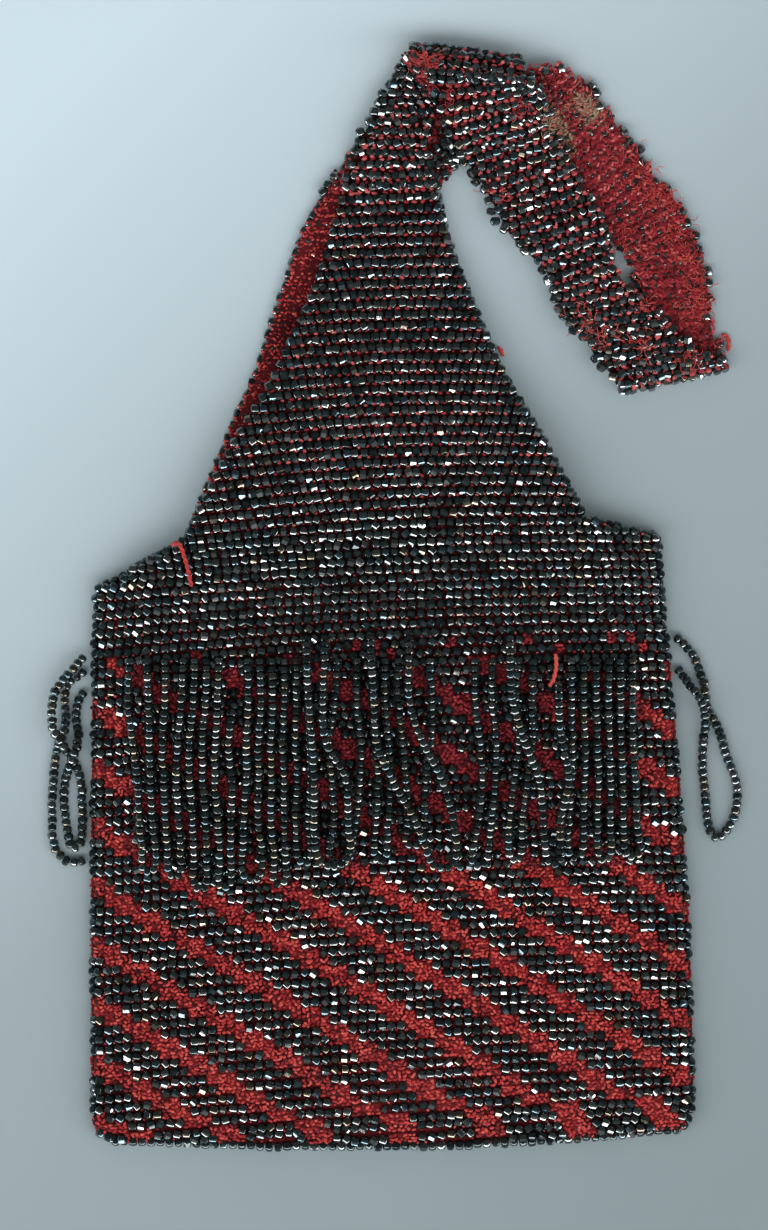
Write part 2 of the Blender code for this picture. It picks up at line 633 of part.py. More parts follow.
def make_side_loops():
    """The longer bead loops at the pouch's two sides."""
    loops = {
        "side_loop_left_inner": LEFT_LOOP_INNER,
        "side_loop_left_outer": LEFT_LOOP_OUTER,
        "side_loop_right": RIGHT_LOOP,
    }
    for name, route in loops.items():
        points = [(x, y, BEAD / 2 + TABLE_GAP + layer * (BEAD + CROSS_GAP)) for x, y, layer in route]
        make_strand(name, points, LEG_STEP, BEAD, 6, finish(name, GUNMETAL, 0.25, 0.6))


def make_tails():
    """The loose yarn ends: two on the front, one by the top's edge and one by the strap's far fold."""
    over_front = {"yarn_tail_shoulder": SHOULDER_TAIL, "yarn_tail_fringe": FRINGE_TAIL}
    on_table = {"yarn_tail_strap": STRAP_TAIL, "yarn_tail_top": TOP_TAIL}
    for name, points in over_front.items():
        raised = [(x, y, front_height(x, y) + YARN_REST) for x, y in points]
        make_strand(name, raised, TAIL_STEP, YARN, 6, finish(name, RED_YARN, 0.9))
    for name, points in on_table.items():
        resting = [(x, y, YARN / 2 + TABLE_GAP) for x, y in points]
        make_strand(name, resting, TAIL_STEP, YARN, 6, finish(name, RED_YARN, 0.9))


def main():
    """Clear the scene and build every piece."""
    for piece in list(bpy.data.objects):
        bpy.data.objects.remove(piece, do_unlink=True)
    make_pouch()
    make_strap()
    make_fringe()
    make_side_loops()
    make_tails()


main()
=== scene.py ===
"""Looks of a beaded evening purse that lies flat on its back.

Every cut bead, the stitches of bare red yarn, the folded wrist strap, the fringe and the loose yarn
ends are meshes. Lengths are in millimetres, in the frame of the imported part, and become metres where
a mesh is made.
"""
import logging
import math
from collections.abc import Callable, Iterable, Sequence
from dataclasses import dataclass, field
from enum import Enum
from typing import Any

import bpy
import numpy as np
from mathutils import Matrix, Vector


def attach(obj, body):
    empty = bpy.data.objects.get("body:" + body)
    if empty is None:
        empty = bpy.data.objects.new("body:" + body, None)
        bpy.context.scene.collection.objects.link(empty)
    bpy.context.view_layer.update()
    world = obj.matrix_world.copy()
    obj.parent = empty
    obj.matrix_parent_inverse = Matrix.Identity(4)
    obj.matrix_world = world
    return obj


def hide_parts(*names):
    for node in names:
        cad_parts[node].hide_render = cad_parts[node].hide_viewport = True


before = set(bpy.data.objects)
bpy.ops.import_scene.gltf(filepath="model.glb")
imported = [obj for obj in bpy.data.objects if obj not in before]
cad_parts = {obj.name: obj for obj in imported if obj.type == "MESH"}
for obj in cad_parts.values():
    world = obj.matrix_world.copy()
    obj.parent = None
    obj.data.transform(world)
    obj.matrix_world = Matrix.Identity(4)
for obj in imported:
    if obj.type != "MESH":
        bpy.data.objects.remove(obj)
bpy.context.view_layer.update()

METRES = 0.001
LOG = logging.getLogger("purse")

Pair = tuple[float, float]
Triple = tuple[float, float, float]
Row = tuple[float, float, float, float, float]
Station = tuple[Triple, Triple]
Array = np.ndarray
Placed = tuple[Array, Array, Array]
Faces = list[tuple[int, ...]]
Surface = tuple[Array, Faces]
Chance = np.random.Generator


# Shader graphs

# Numbers of the Mix node's sockets for colours.
MIX_SHARE, MIX_ONE, MIX_OTHER, MIX_COLOUR = 0, 6, 7, 2


class Socket:
    """An output of a shader graph that takes part in sums and products."""

    def __init__(self, graph: "ShaderGraph", link: bpy.types.NodeSocket) -> None:
        """Keep the graph and the node's output."""
        self.graph = graph
        self.link = link

    def math(self, operation: str, *values: "Socket | float") -> "Socket":
        """Output of a Math node."""
        return self.graph.add("ShaderNodeMath", {"operation": operation}, dict(enumerate(values)))

    def __add__(self, other: "Socket | float") -> "Socket":
        """Sum."""
        return self.math("ADD", self, other)

    def __radd__(self, other: float) -> "Socket":
        """Sum with a number on the left."""
        return self.math("ADD", other, self)

    def __sub__(self, other: "Socket | float") -> "Socket":
        """Difference."""
        return self.math("SUBTRACT", self, other)

    def __rsub__(self, other: float) -> "Socket":
        """Difference from a number on the left."""
        return self.math("SUBTRACT", other, self)

    def __mul__(self, other: "Socket | float") -> "Socket":
        """Product."""
        return self.math("MULTIPLY", self, other)

    def __rmul__(self, other: float) -> "Socket":
        """Product with a number on the left."""
        return self.math("MULTIPLY", other, self)


class ShaderGraph:
    """The nodes of one material or world."""

    def __init__(self, tree: bpy.types.NodeTree) -> None:
        """Keep the node tree."""
        self.tree = tree

    def node(self, kind: str, settings: dict[str, Any], inputs: dict[Any, Any]) -> bpy.types.Node:
        """Add a node.

        Args:
            kind: Blender's type name of the node.
            settings: Properties that are set first; "stops" gives a ramp's positions and colours.
            inputs: Values or links of its inputs, by name or number.

        Returns:
            The node.
        """
        made = self.tree.nodes.new(kind)
        for name, value in settings.items():
            if name == "stops":
                self.set_stops(made.color_ramp, value)
            else:
                setattr(made, name, value)
        for name, value in inputs.items():
            self.feed(made.inputs[name], value)
        return made

    def add(self, kind: str, settings: dict[str, Any], inputs: dict[Any, Any], output: Any = 0) -> Socket:
        """Add a node and take one of its outputs, by name or number."""
        return Socket(self, self.node(kind, settings, inputs).outputs[output])

    def feed(self, target: bpy.types.NodeSocket, value: Any) -> None:
        """Link an output to an input, or set the input's value."""
        if isinstance(value, Socket):
            self.tree.links.new(value.link, target)
        elif isinstance(value, tuple) and target.type == "RGBA" and len(value) == 3:
            target.default_value = (*value, 1.0)
        else:
            target.default_value = value

    @staticmethod
    def set_stops(ramp: bpy.types.ColorRamp, stops: Sequence[tuple[float, tuple]]) -> None:
        """Give a ramp its stops, from the lowest up."""
        while len(ramp.elements) < len(stops):
            ramp.elements.new(1.0)
        for element, (place, colour) in zip(ramp.elements, stops):
            element.position = place
            element.color = (*colour, 1.0)

    def attribute(self, name: str) -> Socket:
        """Number that each point of the mesh carries under a name."""
        return self.add("ShaderNodeAttribute", {"attribute_name": name}, {}, "Fac")

    def noise(self, scale: float, detail: float, roughness: float = 0.5) -> Socket:
        """Noise in the object's own coordinates, from 0 to 1.

        Args:
            scale: Repeats in a metre.
            detail: Octaves.
            roughness: Share of the finer octaves.

        Returns:
            The noise's value.
        """
        place = self.add("ShaderNodeTexCoord", {}, {}, "Object")
        values = {"Vector": place, "Scale": scale, "Detail": detail, "Roughness": roughness}
        return self.add("ShaderNodeTexNoise", {}, values, "Fac")

    def remap(self, value: Socket, low: float, high: float, to_low: float, to_high: float) -> Socket:
        """Move the range from low to high onto another one, clamped."""
        inputs = {"Value": value, "From Min": low, "From Max": high, "To Min": to_low, "To Max": to_high}
        return self.add("ShaderNodeMapRange", {"clamp": True}, inputs)

    def mix(self, share: "Socket | float", one: Any, other: Any) -> Socket:
        """Mix two colours by the share of the second."""
        inputs = {MIX_SHARE: share, MIX_ONE: one, MIX_OTHER: other}
        return self.add("ShaderNodeMix", {"data_type": "RGBA", "clamp_factor": True}, inputs, MIX_COLOUR)


def new_material(name: str) -> tuple[bpy.types.Material, ShaderGraph, bpy.types.Node]:
    """Make an empty Principled material.

    Args:
        name: The material's name.

    Returns:
        The material, its graph and its Principled node.
    """
    material = bpy.data.materials.new(name)
    material.use_nodes = True
    graph = ShaderGraph(material.node_tree)
    return material, graph, material.node_tree.nodes["Principled BSDF"]


# Finishes

@dataclass(frozen=True)
class CutGlass:
    """Opaque cut glass, nearly black, whose facets mirror the light in a tint of their own."""

    name: str
    tint: Triple
    refraction: float = 2.3
    dark: Triple = (0.005, 0.008, 0.008)
    light: Triple = (0.015, 0.024, 0.023)
    dust: Triple = (0.05, 0.062, 0.062)
    dust_scale: float = 900.0
    roughness: float = 0.09
    bloom_range: Pair = (0.52, 0.72)
    bloom_share: float = 0.1
    bloom_roughness: float = 0.1
    tone_roughness: float = 0.05

    def material(self) -> bpy.types.Material:
        """Make the material: each bead its own tone, with a dull bloom of age here and there."""
        material, graph, shader = new_material(self.name)
        tone = graph.attribute("tone")
        bloom = graph.remap(graph.noise(self.dust_scale, 3.0, 0.6), *self.bloom_range, 0.0, 1.0)
        colour = graph.mix(tone * tone, self.dark, self.light)
        graph.feed(shader.inputs["Base Color"], graph.mix(bloom * self.bloom_share, colour, self.dust))
        roughness = self.roughness + bloom * self.bloom_roughness + tone * self.tone_roughness
        graph.feed(shader.inputs["Roughness"], roughness)
        shader.inputs["IOR"].default_value = self.refraction
        shader.inputs["Specular Tint"].default_value = (*self.tint, 1.0)
        return material


@dataclass(frozen=True)
class Yarn:
    """Twisted wool yarn with a fuzzy surface."""

    name: str
    deep: Triple
    middle: Triple
    bright: Triple
    worn: Triple = (0.45, 0.33, 0.21)
    fibre_scale: float = 5200.0
    patch_scale: float = 60.0
    tone_share: float = 0.62
    fibre_share: float = 0.24
    patch_share: float = 0.14
    stops: Triple = (0.22, 0.54, 0.85)
    wear_range: Pair = (0.35, 0.6)
    least_wear: float = 0.6
    bump_strength: float = 0.8
    bump_depth: float = 0.0002
    roughness: float = 0.88
    specular: float = 0.2
    sheen: float = 0.15
    sheen_roughness: float = 0.5
    sheen_tint: Triple = (0.9, 0.45, 0.4)

    def material(self) -> bpy.types.Material:
        """Make the material: fibres, faded patches, a tone for each stitch and worn brown spots."""
        material, graph, shader = new_material(self.name)
        fibre = graph.noise(self.fibre_scale, 3.0, 0.65)
        patch = graph.noise(self.patch_scale, 2.0)
        tone = graph.attribute("tone")
        level = tone * self.tone_share + fibre * self.fibre_share + patch * self.patch_share
        ramp = {"stops": tuple(zip(self.stops, (self.deep, self.middle, self.bright)))}
        red = graph.add("ShaderNodeValToRGB", ramp, {"Fac": level})
        wear = graph.attribute("wear") * graph.remap(fibre, *self.wear_range, self.least_wear, 1.0)
        graph.feed(shader.inputs["Base Color"], graph.mix(wear, red, self.worn))
        bump = {"Height": fibre, "Strength": self.bump_strength, "Distance": self.bump_depth}
        graph.feed(shader.inputs["Normal"], graph.add("ShaderNodeBump", {}, bump))
        shader.inputs["Roughness"].default_value = self.roughness
        shader.inputs["Specular IOR Level"].default_value = self.specular
        shader.inputs["Sheen Weight"].default_value = self.sheen
        shader.inputs["Sheen Roughness"].default_value = self.sheen_roughness
        shader.inputs["Sheen Tint"].default_value = (*self.sheen_tint, 1.0)
        return material


class Glass(Enum):
    """Tints in which the beads mirror the light."""

    WHITE = 0
    PALE_BLUE = 1
    PEACH = 2
    BRIGHT = 3
    DULL = 4


# Shares of the tints in each group of beads, in the order of Glass.
GLASS_SHARES = (0.54, 0.15, 0.08, 0.11, 0.12)
EDGE_SHARES = (0.16, 0.05, 0.02, 0.02, 0.75)
STRAP_SHARES = (0.44, 0.17, 0.09, 0.25, 0.05)
STRUNG_SHARES = (0.42, 0.15, 0.12, 0.07, 0.24)
GLASS_FINISHES = {
    Glass.WHITE: CutGlass("glass_white_lustre", (0.9, 1.0, 0.99)),
    Glass.PALE_BLUE: CutGlass("glass_pale_blue_lustre", (0.58, 0.86, 1.0)),
    Glass.PEACH: CutGlass("glass_peach_lustre", (1.0, 0.88, 0.66)),
    Glass.BRIGHT: CutGlass("glass_bright_lustre", (0.97, 1.0, 1.0), 3.2),
    Glass.DULL: CutGlass("glass_dull_lustre", (0.78, 0.95, 1.0), 1.55),
}
RED_YARN = Yarn("red_yarn", (0.03, 0.002, 0.004), (0.50, 0.032, 0.036), (0.82, 0.14, 0.11))
CRIMSON_YARN = Yarn("crimson_yarn", (0.04, 0.003, 0.005), (0.40, 0.030, 0.042), (0.82, 0.19, 0.18))


class Dresser:
    """Makes each finish once and hands it out."""

    def __init__(self) -> None:
        """Start with nothing made."""
        self.made: dict[str, bpy.types.Material] = {}

    def get(self, finish: "CutGlass | Yarn") -> bpy.types.Material:
        """The material of a finish."""
        if finish.name not in self.made:
            self.made[finish.name] = finish.material()
        return self.made[finish.name]

    def glass(self) -> list[bpy.types.Material]:
        """The bead materials, in the order of the Glass numbers."""
        return [self.get(GLASS_FINISHES[colour]) for colour in Glass]


# Mesh building

@dataclass(eq=False)
class Form:
    """A small closed form about the origin."""

    points: Array
    faces: Faces

    def normals(self) -> tuple[Array, Array]:
        """Normals at each corner of each face.

        Returns:
            Those of the faces, and those of a wholly smooth form.
        """
        flat, smooth_sum = [], np.zeros_like(self.points)
        for face in self.faces:
            a, b, c = (self.points[i] for i in (face[0], face[1], face[-1]))
            normal = np.cross(b - a, c - a)
            smooth_sum[list(face)] += normal
            flat += [normal / np.linalg.norm(normal)] * len(face)
        smooth_sum /= np.linalg.norm(smooth_sum, axis=1, keepdims=True)
        smooth = smooth_sum[[i for face in self.faces for i in face]]
        return np.array(flat), smooth


def turned(profile: Sequence[Pair], sides: int) -> Form:
    """Turn a profile round X.

    Args:
        profile: Places along X and radii, from low X to high; a radius of 0 closes an end.
        sides: Corners of each ring.

    Returns:
        The form.
    """
    points: list[Triple] = []
    rings: list[list[int]] = []
    for x, radius in profile:
        count = sides if radius > 0 else 1
        rings.append(list(range(len(points), len(points) + count)))
        for number in range(count):
            turn = math.tau * (number + 0.5) / sides
            points.append((x, radius * math.cos(turn), radius * math.sin(turn)))
    faces: Faces = []
    for one, other in zip(rings, rings[1:]):
        for number in range(sides):
            following = (number + 1) % sides
            corners = (one[number % len(one)], one[following % len(one)],
                       other[following % len(other)], other[number % len(other)])
            faces.append(tuple(dict.fromkeys(corners)))
    return Form(np.array(points), faces)


class BeadForm(Enum):
    """Cuts of the beads, each one unit across and one unit long."""

    ROW = turned(((-0.36, 0.0), (-0.5, 0.26), (-0.34, 0.48), (0.34, 0.48), (0.5, 0.26), (0.36, 0.0)), 7)
    STRUNG = turned(((-0.3, 0.0), (-0.48, 0.2), (-0.4, 0.42), (-0.16, 0.5), (0.16, 0.5), (0.4, 0.42),
                     (0.48, 0.2), (0.3, 0.0)), 7)
    HIDDEN = turned(((-0.45, 0.0), (-0.34, 0.48), (0.34, 0.48), (0.45, 0.0)), 6)


class YarnForm(Enum):
    """Pieces of yarn, two units long and two across."""

    KNOT = turned(((-1.0, 0.0), (-0.5, 0.88), (0.5, 0.88), (1.0, 0.0)), 5)
    PLAIN_KNOT = turned(((-1.0, 0.0), (-0.5, 0.88), (0.5, 0.88), (1.0, 0.0)), 4)


class Seed(Enum):
    """Starting numbers of chance, one for each group of pieces."""

    SEAM = 5
    EDGE_BEADS = 7
    ROW_BEADS = 11
    FRONT_YARN = 23
    BACK_YARN = 29
    STRAP = 41
    TAILS = 61
    FRINGE = 200
    SIDE_LOOPS = 300

    def chance(self, number: int = 0) -> Chance:
        """A fresh source of chance for one piece of the group."""
        return np.random.default_rng(self.value + number)


@dataclass(frozen=True)
class Scatter:
    """How far beads stray: width and length as shares, place, angles in degrees, and the tones drawn."""

    width: float
    length: float
    place: float
    turn: float
    tip: float
    tone: Pair


def unit(vectors: Array) -> Array:
    """Vectors scaled to a length of one."""
    return vectors / np.linalg.norm(vectors, axis=-1, keepdims=True)


def sizes(length: Array, width: Array) -> Array:
    """Sizes of copies that are as thick as they are wide."""
    return np.stack((length, width, width), axis=-1)


@dataclass
class Places:
    """Where copies of a form go: origins, the direction of their X, a direction near their Z."""

    origins: Array
    along: Array
    up: Array

    @staticmethod
    def gather(found: Iterable[Placed]) -> "Places":
        """Make places from a list of origin, along and up."""
        origins, along, up = (np.array(column, dtype=float) for column in zip(*found))
        return Places(origins, along, up)

    def frames(self, roll: Array) -> Array:
        """Rotation matrices, rolled about X.

        Args:
            roll: Angle of each copy, in radians.

        Returns:
            Matrices whose columns are the copies' axes.
        """
        x = unit(self.along)
        y = unit(np.cross(self.up, x))
        z = np.cross(x, y)
        cos, sin = np.cos(roll)[:, None], np.sin(roll)[:, None]
        return np.stack((x, y * cos + z * sin, z * cos - y * sin), axis=-1)

    def turn_in_plane(self, angle: Array) -> "Places":
        """The same places with X turned about Z."""
        side = unit(np.cross(self.up, self.along))
        cos, sin = np.cos(angle)[:, None], np.sin(angle)[:, None]
        return Places(self.origins, unit(self.along) * cos + side * sin, self.up)

    def tip(self, angle: Array) -> "Places":
        """The same places with X lifted towards Z."""
        cos, sin = np.cos(angle)[:, None], np.sin(angle)[:, None]
        return Places(self.origins, unit(self.along) * cos + unit(self.up) * sin, self.up)

    def shift(self, offsets: Array) -> "Places":
        """The same places moved by offsets."""
        return Places(self.origins + offsets, self.along, self.up)


class Heap:
    """Copies of small forms, gathered into one mesh."""

    def __init__(self) -> None:
        """Start empty."""
        self.points: list[Array] = []
        self.corners: list[Array] = []
        self.counts: list[Array] = []
        self.normals: list[Array] = []
        self.finishes: list[Array] = []
        self.tone: list[Array] = []
        self.wear: list[Array] = []
        self.count = 0

    def add(self, form: Form, places: Places, size: Array, roll: Array, soft: Array | float,
            tone: Array, wear: Array | float = 0.0, finish: Array | int = 0) -> None:
        """Set copies of a form down, none of them below the table.

        Args:
            form: The form.
            places: Where the copies go.
            size: Length and two widths of each copy.
            roll: Turn of each about its own axis.
            soft: How smooth each is shaded, from 0, flat facets, to 1.
            tone: Shade of each, from 0 to 1.
            wear: How worn each is.
            finish: Number of each one's material.
        """
        copies = len(places.origins)
        if copies == 0:
            return
        frames = places.frames(roll)
        local = form.points[None] * size[:, None]
        placed = places.origins[:, None] + np.einsum("nij,nvj->nvi", frames, local)
        placed[..., 2] -= np.minimum(placed[..., 2].min(axis=1), 0.0)[:, None]
        flat, smooth = form.normals()
        soft = np.broadcast_to(soft, copies)[:, None, None]
        blend = flat[None] * (1 - soft) + smooth[None] * soft
        normals = unit(np.einsum("nij,nvj->nvi", frames, blend / size[:, None]))
        per_copy = len(form.points)
        tone, wear = (np.repeat(np.broadcast_to(value, copies), per_copy) for value in (tone, wear))
        starts = per_copy * np.arange(copies)[:, None]
        self.keep(form.faces, placed.reshape(-1, 3), normals.reshape(-1, 3), starts, tone, wear,
                  np.broadcast_to(finish, copies))

    def keep(self, faces: Faces, points: Array, normals: Array, starts: Array, tone: Array, wear: Array,
             finish: Array) -> None:
        """Keep the points and faces of copies of one form.

        Args:
            faces: Faces of one copy, by point number.
            points: Points of all copies.
            normals: Normals at all their corners.
            starts: Each copy's first point.
            tone: Shade of each point.
            wear: How worn each point is.
            finish: Number of each copy's material.
        """
        ring = np.array([i for face in faces for i in face])
        self.points.append(points)
        self.normals.append(normals)
        self.corners.append((ring[None] + starts + self.count).ravel())
        self.counts.append(np.tile([len(face) for face in faces], len(starts)))
        self.finishes.append(np.repeat(finish, len(faces)))
        self.tone.append(tone)
        self.wear.append(wear)
        self.count += len(points)

    def add_surface(self, points: Array, faces: Faces, tone: Array | float, wear: Array | float = 0.0,
                    finish: int = 0) -> None:
        """Add a mesh of its own, smooth.

        Args:
            points: Its points.
            faces: Its faces, by point number.
            tone: Shade of each point, or of all.
            wear: How worn each point is, or all.
            finish: Number of its material.
        """
        _, smooth = Form(points, faces).normals()
        tone, wear = (np.broadcast_to(value, len(points)) for value in (tone, wear))
        self.keep(faces, points, smooth, np.zeros((1, 1), dtype=int), tone, wear, np.array([finish]))

    def build(self, name: str, materials: Sequence[bpy.types.Material]) -> bpy.types.Object:
        """Make the object.

        Args:
            name: Its name.
            materials: Its materials, by number.

        Returns:
            The object.
        """
        points = np.concatenate(self.points) * METRES
        corners = np.concatenate(self.corners)
        counts = np.concatenate(self.counts)
        mesh = bpy.data.meshes.new(name)
        mesh.vertices.add(len(points))
        mesh.vertices.foreach_set("co", points.astype(np.float32).ravel())
        mesh.loops.add(len(corners))
        mesh.loops.foreach_set("vertex_index", corners.astype(np.int32))
        mesh.polygons.add(len(counts))
        mesh.polygons.foreach_set("loop_start", (np.cumsum(counts) - counts).astype(np.int32))
        mesh.polygons.foreach_set("material_index", np.concatenate(self.finishes).astype(np.int32))
        mesh.update(calc_edges=True)
        mesh.polygons.foreach_set("use_smooth", np.ones(len(counts), dtype=bool))
        for title, values in (("tone", self.tone), ("wear", self.wear)):
            attribute = mesh.attributes.new(title, "FLOAT", "POINT")
            attribute.data.foreach_set("value", np.concatenate(values).astype(np.float32))
        mesh.normals_split_custom_set(np.concatenate(self.normals).astype(np.float32))
        for material in materials:
            mesh.materials.append(material)
        piece = bpy.data.objects.new(name, mesh)
        bpy.context.scene.collection.objects.link(piece)
        LOG.info("%s: %d triangles", name, (counts - 2).sum())
        return piece


def seat(piece: bpy.types.Object, nodes: Sequence[str] = ()) -> None:
    """Let a piece ride on the part's one body, for the nodes that it stands for."""
    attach(piece, "root")
    if nodes:
        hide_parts(*nodes)


# Curves and values

def ease(value: Array | float) -> Array | float:
    """Smooth step from 0 to 1."""
    held = np.clip(value, 0.0, 1.0)
    return held * held * (3.0 - 2.0 * held)


def smooth_path(points: Sequence[Sequence[float]], step: float) -> Array:
    """Follow a centripetal spline through points.

    Args:
        points: What it passes through.
        step: About how far its points lie apart.

    Returns:
        The points along it.
    """
    knots = [np.array(p, dtype=float) for p in points]
    ends = [2 * knots[0] - knots[1]] + knots + [2 * knots[-1] - knots[-2]]
    path = []
    for a, b, c, d in zip(ends, ends[1:], ends[2:], ends[3:]):
        t1 = math.sqrt(np.linalg.norm(b - a))
        t2 = t1 + math.sqrt(np.linalg.norm(c - b))
        t3 = t2 + math.sqrt(np.linalg.norm(d - c))
        count = max(1, round(np.linalg.norm(c - b) / step))
        for number in range(count):
            t = t1 + (t2 - t1) * number / count
            ab = a * (t1 - t) / t1 + b * t / t1
            bc = b * (t2 - t) / (t2 - t1) + c * (t - t1) / (t2 - t1)
            cd = c * (t3 - t) / (t3 - t2) + d * (t - t2) / (t3 - t2)
            first = ab * (t2 - t) / t2 + bc * t / t2
            second = bc * (t3 - t) / (t3 - t1) + cd * (t - t1) / (t3 - t1)
            path.append(first * (t2 - t) / (t2 - t1) + second * (t - t1) / (t2 - t1))
    path.append(knots[-1])
    return np.array(path)


class Route:
    """A line through space, read by the distance along it."""

    def __init__(self, points: Array) -> None:
        """Measure the line."""
        self.points = points
        steps = np.linalg.norm(np.diff(points[:, :3], axis=0), axis=1)
        self.run = np.concatenate(([0.0], np.cumsum(steps)))
        self.length = float(self.run[-1])

    def at(self, distance: Array | float) -> Array:
        """Points at distances along the line."""
        columns = [np.interp(distance, self.run, column) for column in self.points.T]
        return np.stack(columns, axis=-1)

    def direction(self, distance: Array | float, reach: float = 0.6) -> Array:
        """Unit directions at distances along the line, taken over a short reach."""
        low = np.clip(distance - reach, 0.0, self.length)
        high = np.clip(distance + reach, 0.0, self.length)
        return unit(self.at(high) - self.at(low))


# A direction that no tube follows.
OFF_AXIS = (0.13, 0.21, 1.0)


def tube(path: Array, radius: Array, sides: int) -> Surface:
    """A tube along a path, drawn to a point at each end.

    Args:
        path: Points of its middle.
        radius: Radius at each of them.
        sides: Its corners.

    Returns:
        Points and faces.
    """
    points: list[Array] = [path[0]]
    ahead = np.gradient(path, axis=0)
    for place, direction, size in zip(path[1:-1], ahead[1:-1], radius[1:-1]):
        side = unit(np.cross(direction, OFF_AXIS))
        over = unit(np.cross(side, direction))
        for number in range(sides):
            turn = math.tau * number / sides
            points.append(place + size * (side * math.cos(turn) + over * math.sin(turn)))
    points.append(path[-1])
    last = len(points) - 1
    rings = (last - 1) // sides
    faces: Faces = []
    for number in range(sides):
        following = (number + 1) % sides
        faces.append((0, 1 + number, 1 + following))
        for ring in range(rings - 1):
            low, high = 1 + ring * sides, 1 + (ring + 1) * sides
            faces.append((low + number, high + number, high + following, low + following))
        low = 1 + (rings - 1) * sides
        faces.append((low + number, last, low + following))
    return np.array(points), faces


# Pouch

class Face(Enum):
    """The two walls of the pouch."""

    FRONT = "front"
    BACK = "back"


@dataclass(frozen=True)
class PouchForm:
    """Shape of the two crocheted walls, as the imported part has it."""

    wall: float = 2.4
    gap: float = 0.3
    room_height: float = 5.5
    pillow: float = 6.0
    mouth_row: float = 61.0
    left_shoulder_row: float = 59.7
    right_shoulder_row: float = 63.1
    tip_row: float = 96.0
    corner_row: float = 3.0
    row_bow: float = 1.5
    back_shift: float = 0.5
    bow_first_row: float = 3.0
    bow_rise: float = 8.0
    bow_fall: float = 30.0
    mouth_y: float = 78.0
    bottom_rise: float = 28.0
    least_slant: float = 0.4
    body_rows: tuple[Row, ...] = (
        (0, 45.0, -67.3, 67.5, -65.2), (1, 10.0, -69.3, 68.8, -63.0), (2, -28.0, -69.2, 69.5, -60.8),
        (3, -64.0, -68.0, 69.7, -58.5), (4, -68.3, -65.6, 69.8, -56.3), (6, -69.6, -61.2, 69.8, -51.8),
        (20, -69.7, -29.3, 69.0, -20.9), (36, -69.6, 7.2, 66.8, 14.6), (54, -69.2, 48.3, 63.4, 54.5),
        (61, -68.8, 60.5, 61.8, 72.9),
    )
    front_rows: tuple[Row, ...] = (
        (65, -48.3, 71.8, 45.1, 76.8), (74, -36.6, 95.0, 34.0, 97.5), (79, -28.5, 107.8, 26.5, 109.5),
        (85, -21.2, 123.3, 19.8, 124.5), (91, -15.4, 138.2, 13.8, 139.0), (96, -12.0, 150.7, 10.4, 151.8),
    )
    back_rows: tuple[Row, ...] = (
        (65, -48.3, 71.8, 45.1, 76.8), (74, -37.8, 97.6, 33.4, 98.4), (79, -32.2, 109.8, 26.2, 110.5),
        (85, -26.6, 127.2, 19.4, 126.2), (91, -21.2, 142.8, 13.6, 141.0), (96, -16.3, 151.0, 11.3, 152.5),
    )

    @property
    def middle_z(self) -> float:
        """Height at which the two walls meet."""
        return self.wall + self.gap / 2

    def outline(self, face: Face) -> Array:
        """Row ends of one wall, as an array."""
        return np.array(self.body_rows + (self.front_rows if face is Face.FRONT else self.back_rows))

    def numbers(self, side: int) -> Array:
        """Row numbers at the outline's points, those of the shoulder spread evenly along each side."""
        shoulder = self.left_shoulder_row if side == 0 else self.right_shoulder_row
        table = self.outline(Face.FRONT)[:, 0]
        return np.where(table == self.mouth_row, shoulder, table)

    def ends(self, face: Face, row: float, inset: float = 0.0) -> tuple[Array, Array]:
        """Left and right end of a row.

        Args:
            face: Which wall.
            row: Row number.
            inset: How far from the outline the ends are, moved in along the row over the corner row.

        Returns:
            The two ends in plan.
        """
        table = self.outline(face)
        scales = [self.numbers(side) for side in (0, 0, 1, 1)]

        def read(number: float) -> Array:
            """Plan places of both ends at a row number."""
            return np.array([np.interp(number, scale, table[:, i]) for scale, i in zip(scales, (1, 2, 3, 4))])

        here = read(row)
        change = read(min(row + 0.5, self.tip_row)) - read(max(row - 0.5, 0.0))
        along = unit(here[2:] - here[:2])
        moved = []
        for start, sign in ((0, 1.0), (2, -1.0)):
            dx, dy = unit(change[start:start + 2])
            square = np.array((dy, -dx))
            if row > self.corner_row:
                slant = max(abs(float(along @ square)), self.least_slant)
                moved.append(here[start:start + 2] + along * sign * inset / slant)
            else:
                moved.append(here[start:start + 2] + square * sign * inset)
        return moved[0], moved[1]

    def room(self, x: Array | float, y: Array | float) -> Array | float:
        """Height of the space between the walls."""
        rows = np.array(self.body_rows)
        side = rows[rows[:, 0] >= self.corner_row]
        left = np.interp(y, side[:, 2], side[:, 1])
        right = np.interp(y, rows[:, 4], rows[:, 3])
        off_middle = np.minimum(np.abs(2 * x - left - right) / (right - left), 1.0)
        tip_y = self.front_rows[-1][2]
        rise = ease((y - rows[:, 2].min()) / self.bottom_rise)
        fall = ease((tip_y - y) / (tip_y - self.mouth_y))
        return self.gap + self.room_height * (1.0 - off_middle ** self.pillow) * rise * fall

    def front_height(self, x: Array | float, y: Array | float) -> Array | float:
        """Height of the front's bead tops."""
        return 2 * self.wall + self.room(x, y)

    def on_row(self, face: Face, row: float, share: Array, inset: float) -> tuple[Array, Array]:
        """Plan places along a row, which bows on the front and runs straight on the back.

        Args:
            face: Which wall.
            row: Row number.
            share: Shares of the row's width.
            inset: How far in from the outline the row's ends are.

        Returns:
            X and Y.
        """
        left, right = self.ends(face, row, inset)
        flat = left + (right - left) * share[:, None]
        if face is Face.BACK:
            return flat[:, 0], flat[:, 1]
        rise = ease((row - self.bow_first_row) / self.bow_rise)
        fade = ease((self.tip_row - row) / self.bow_fall)
        return flat[:, 0], flat[:, 1] + self.row_bow * rise * fade * 4 * share * (1 - share)


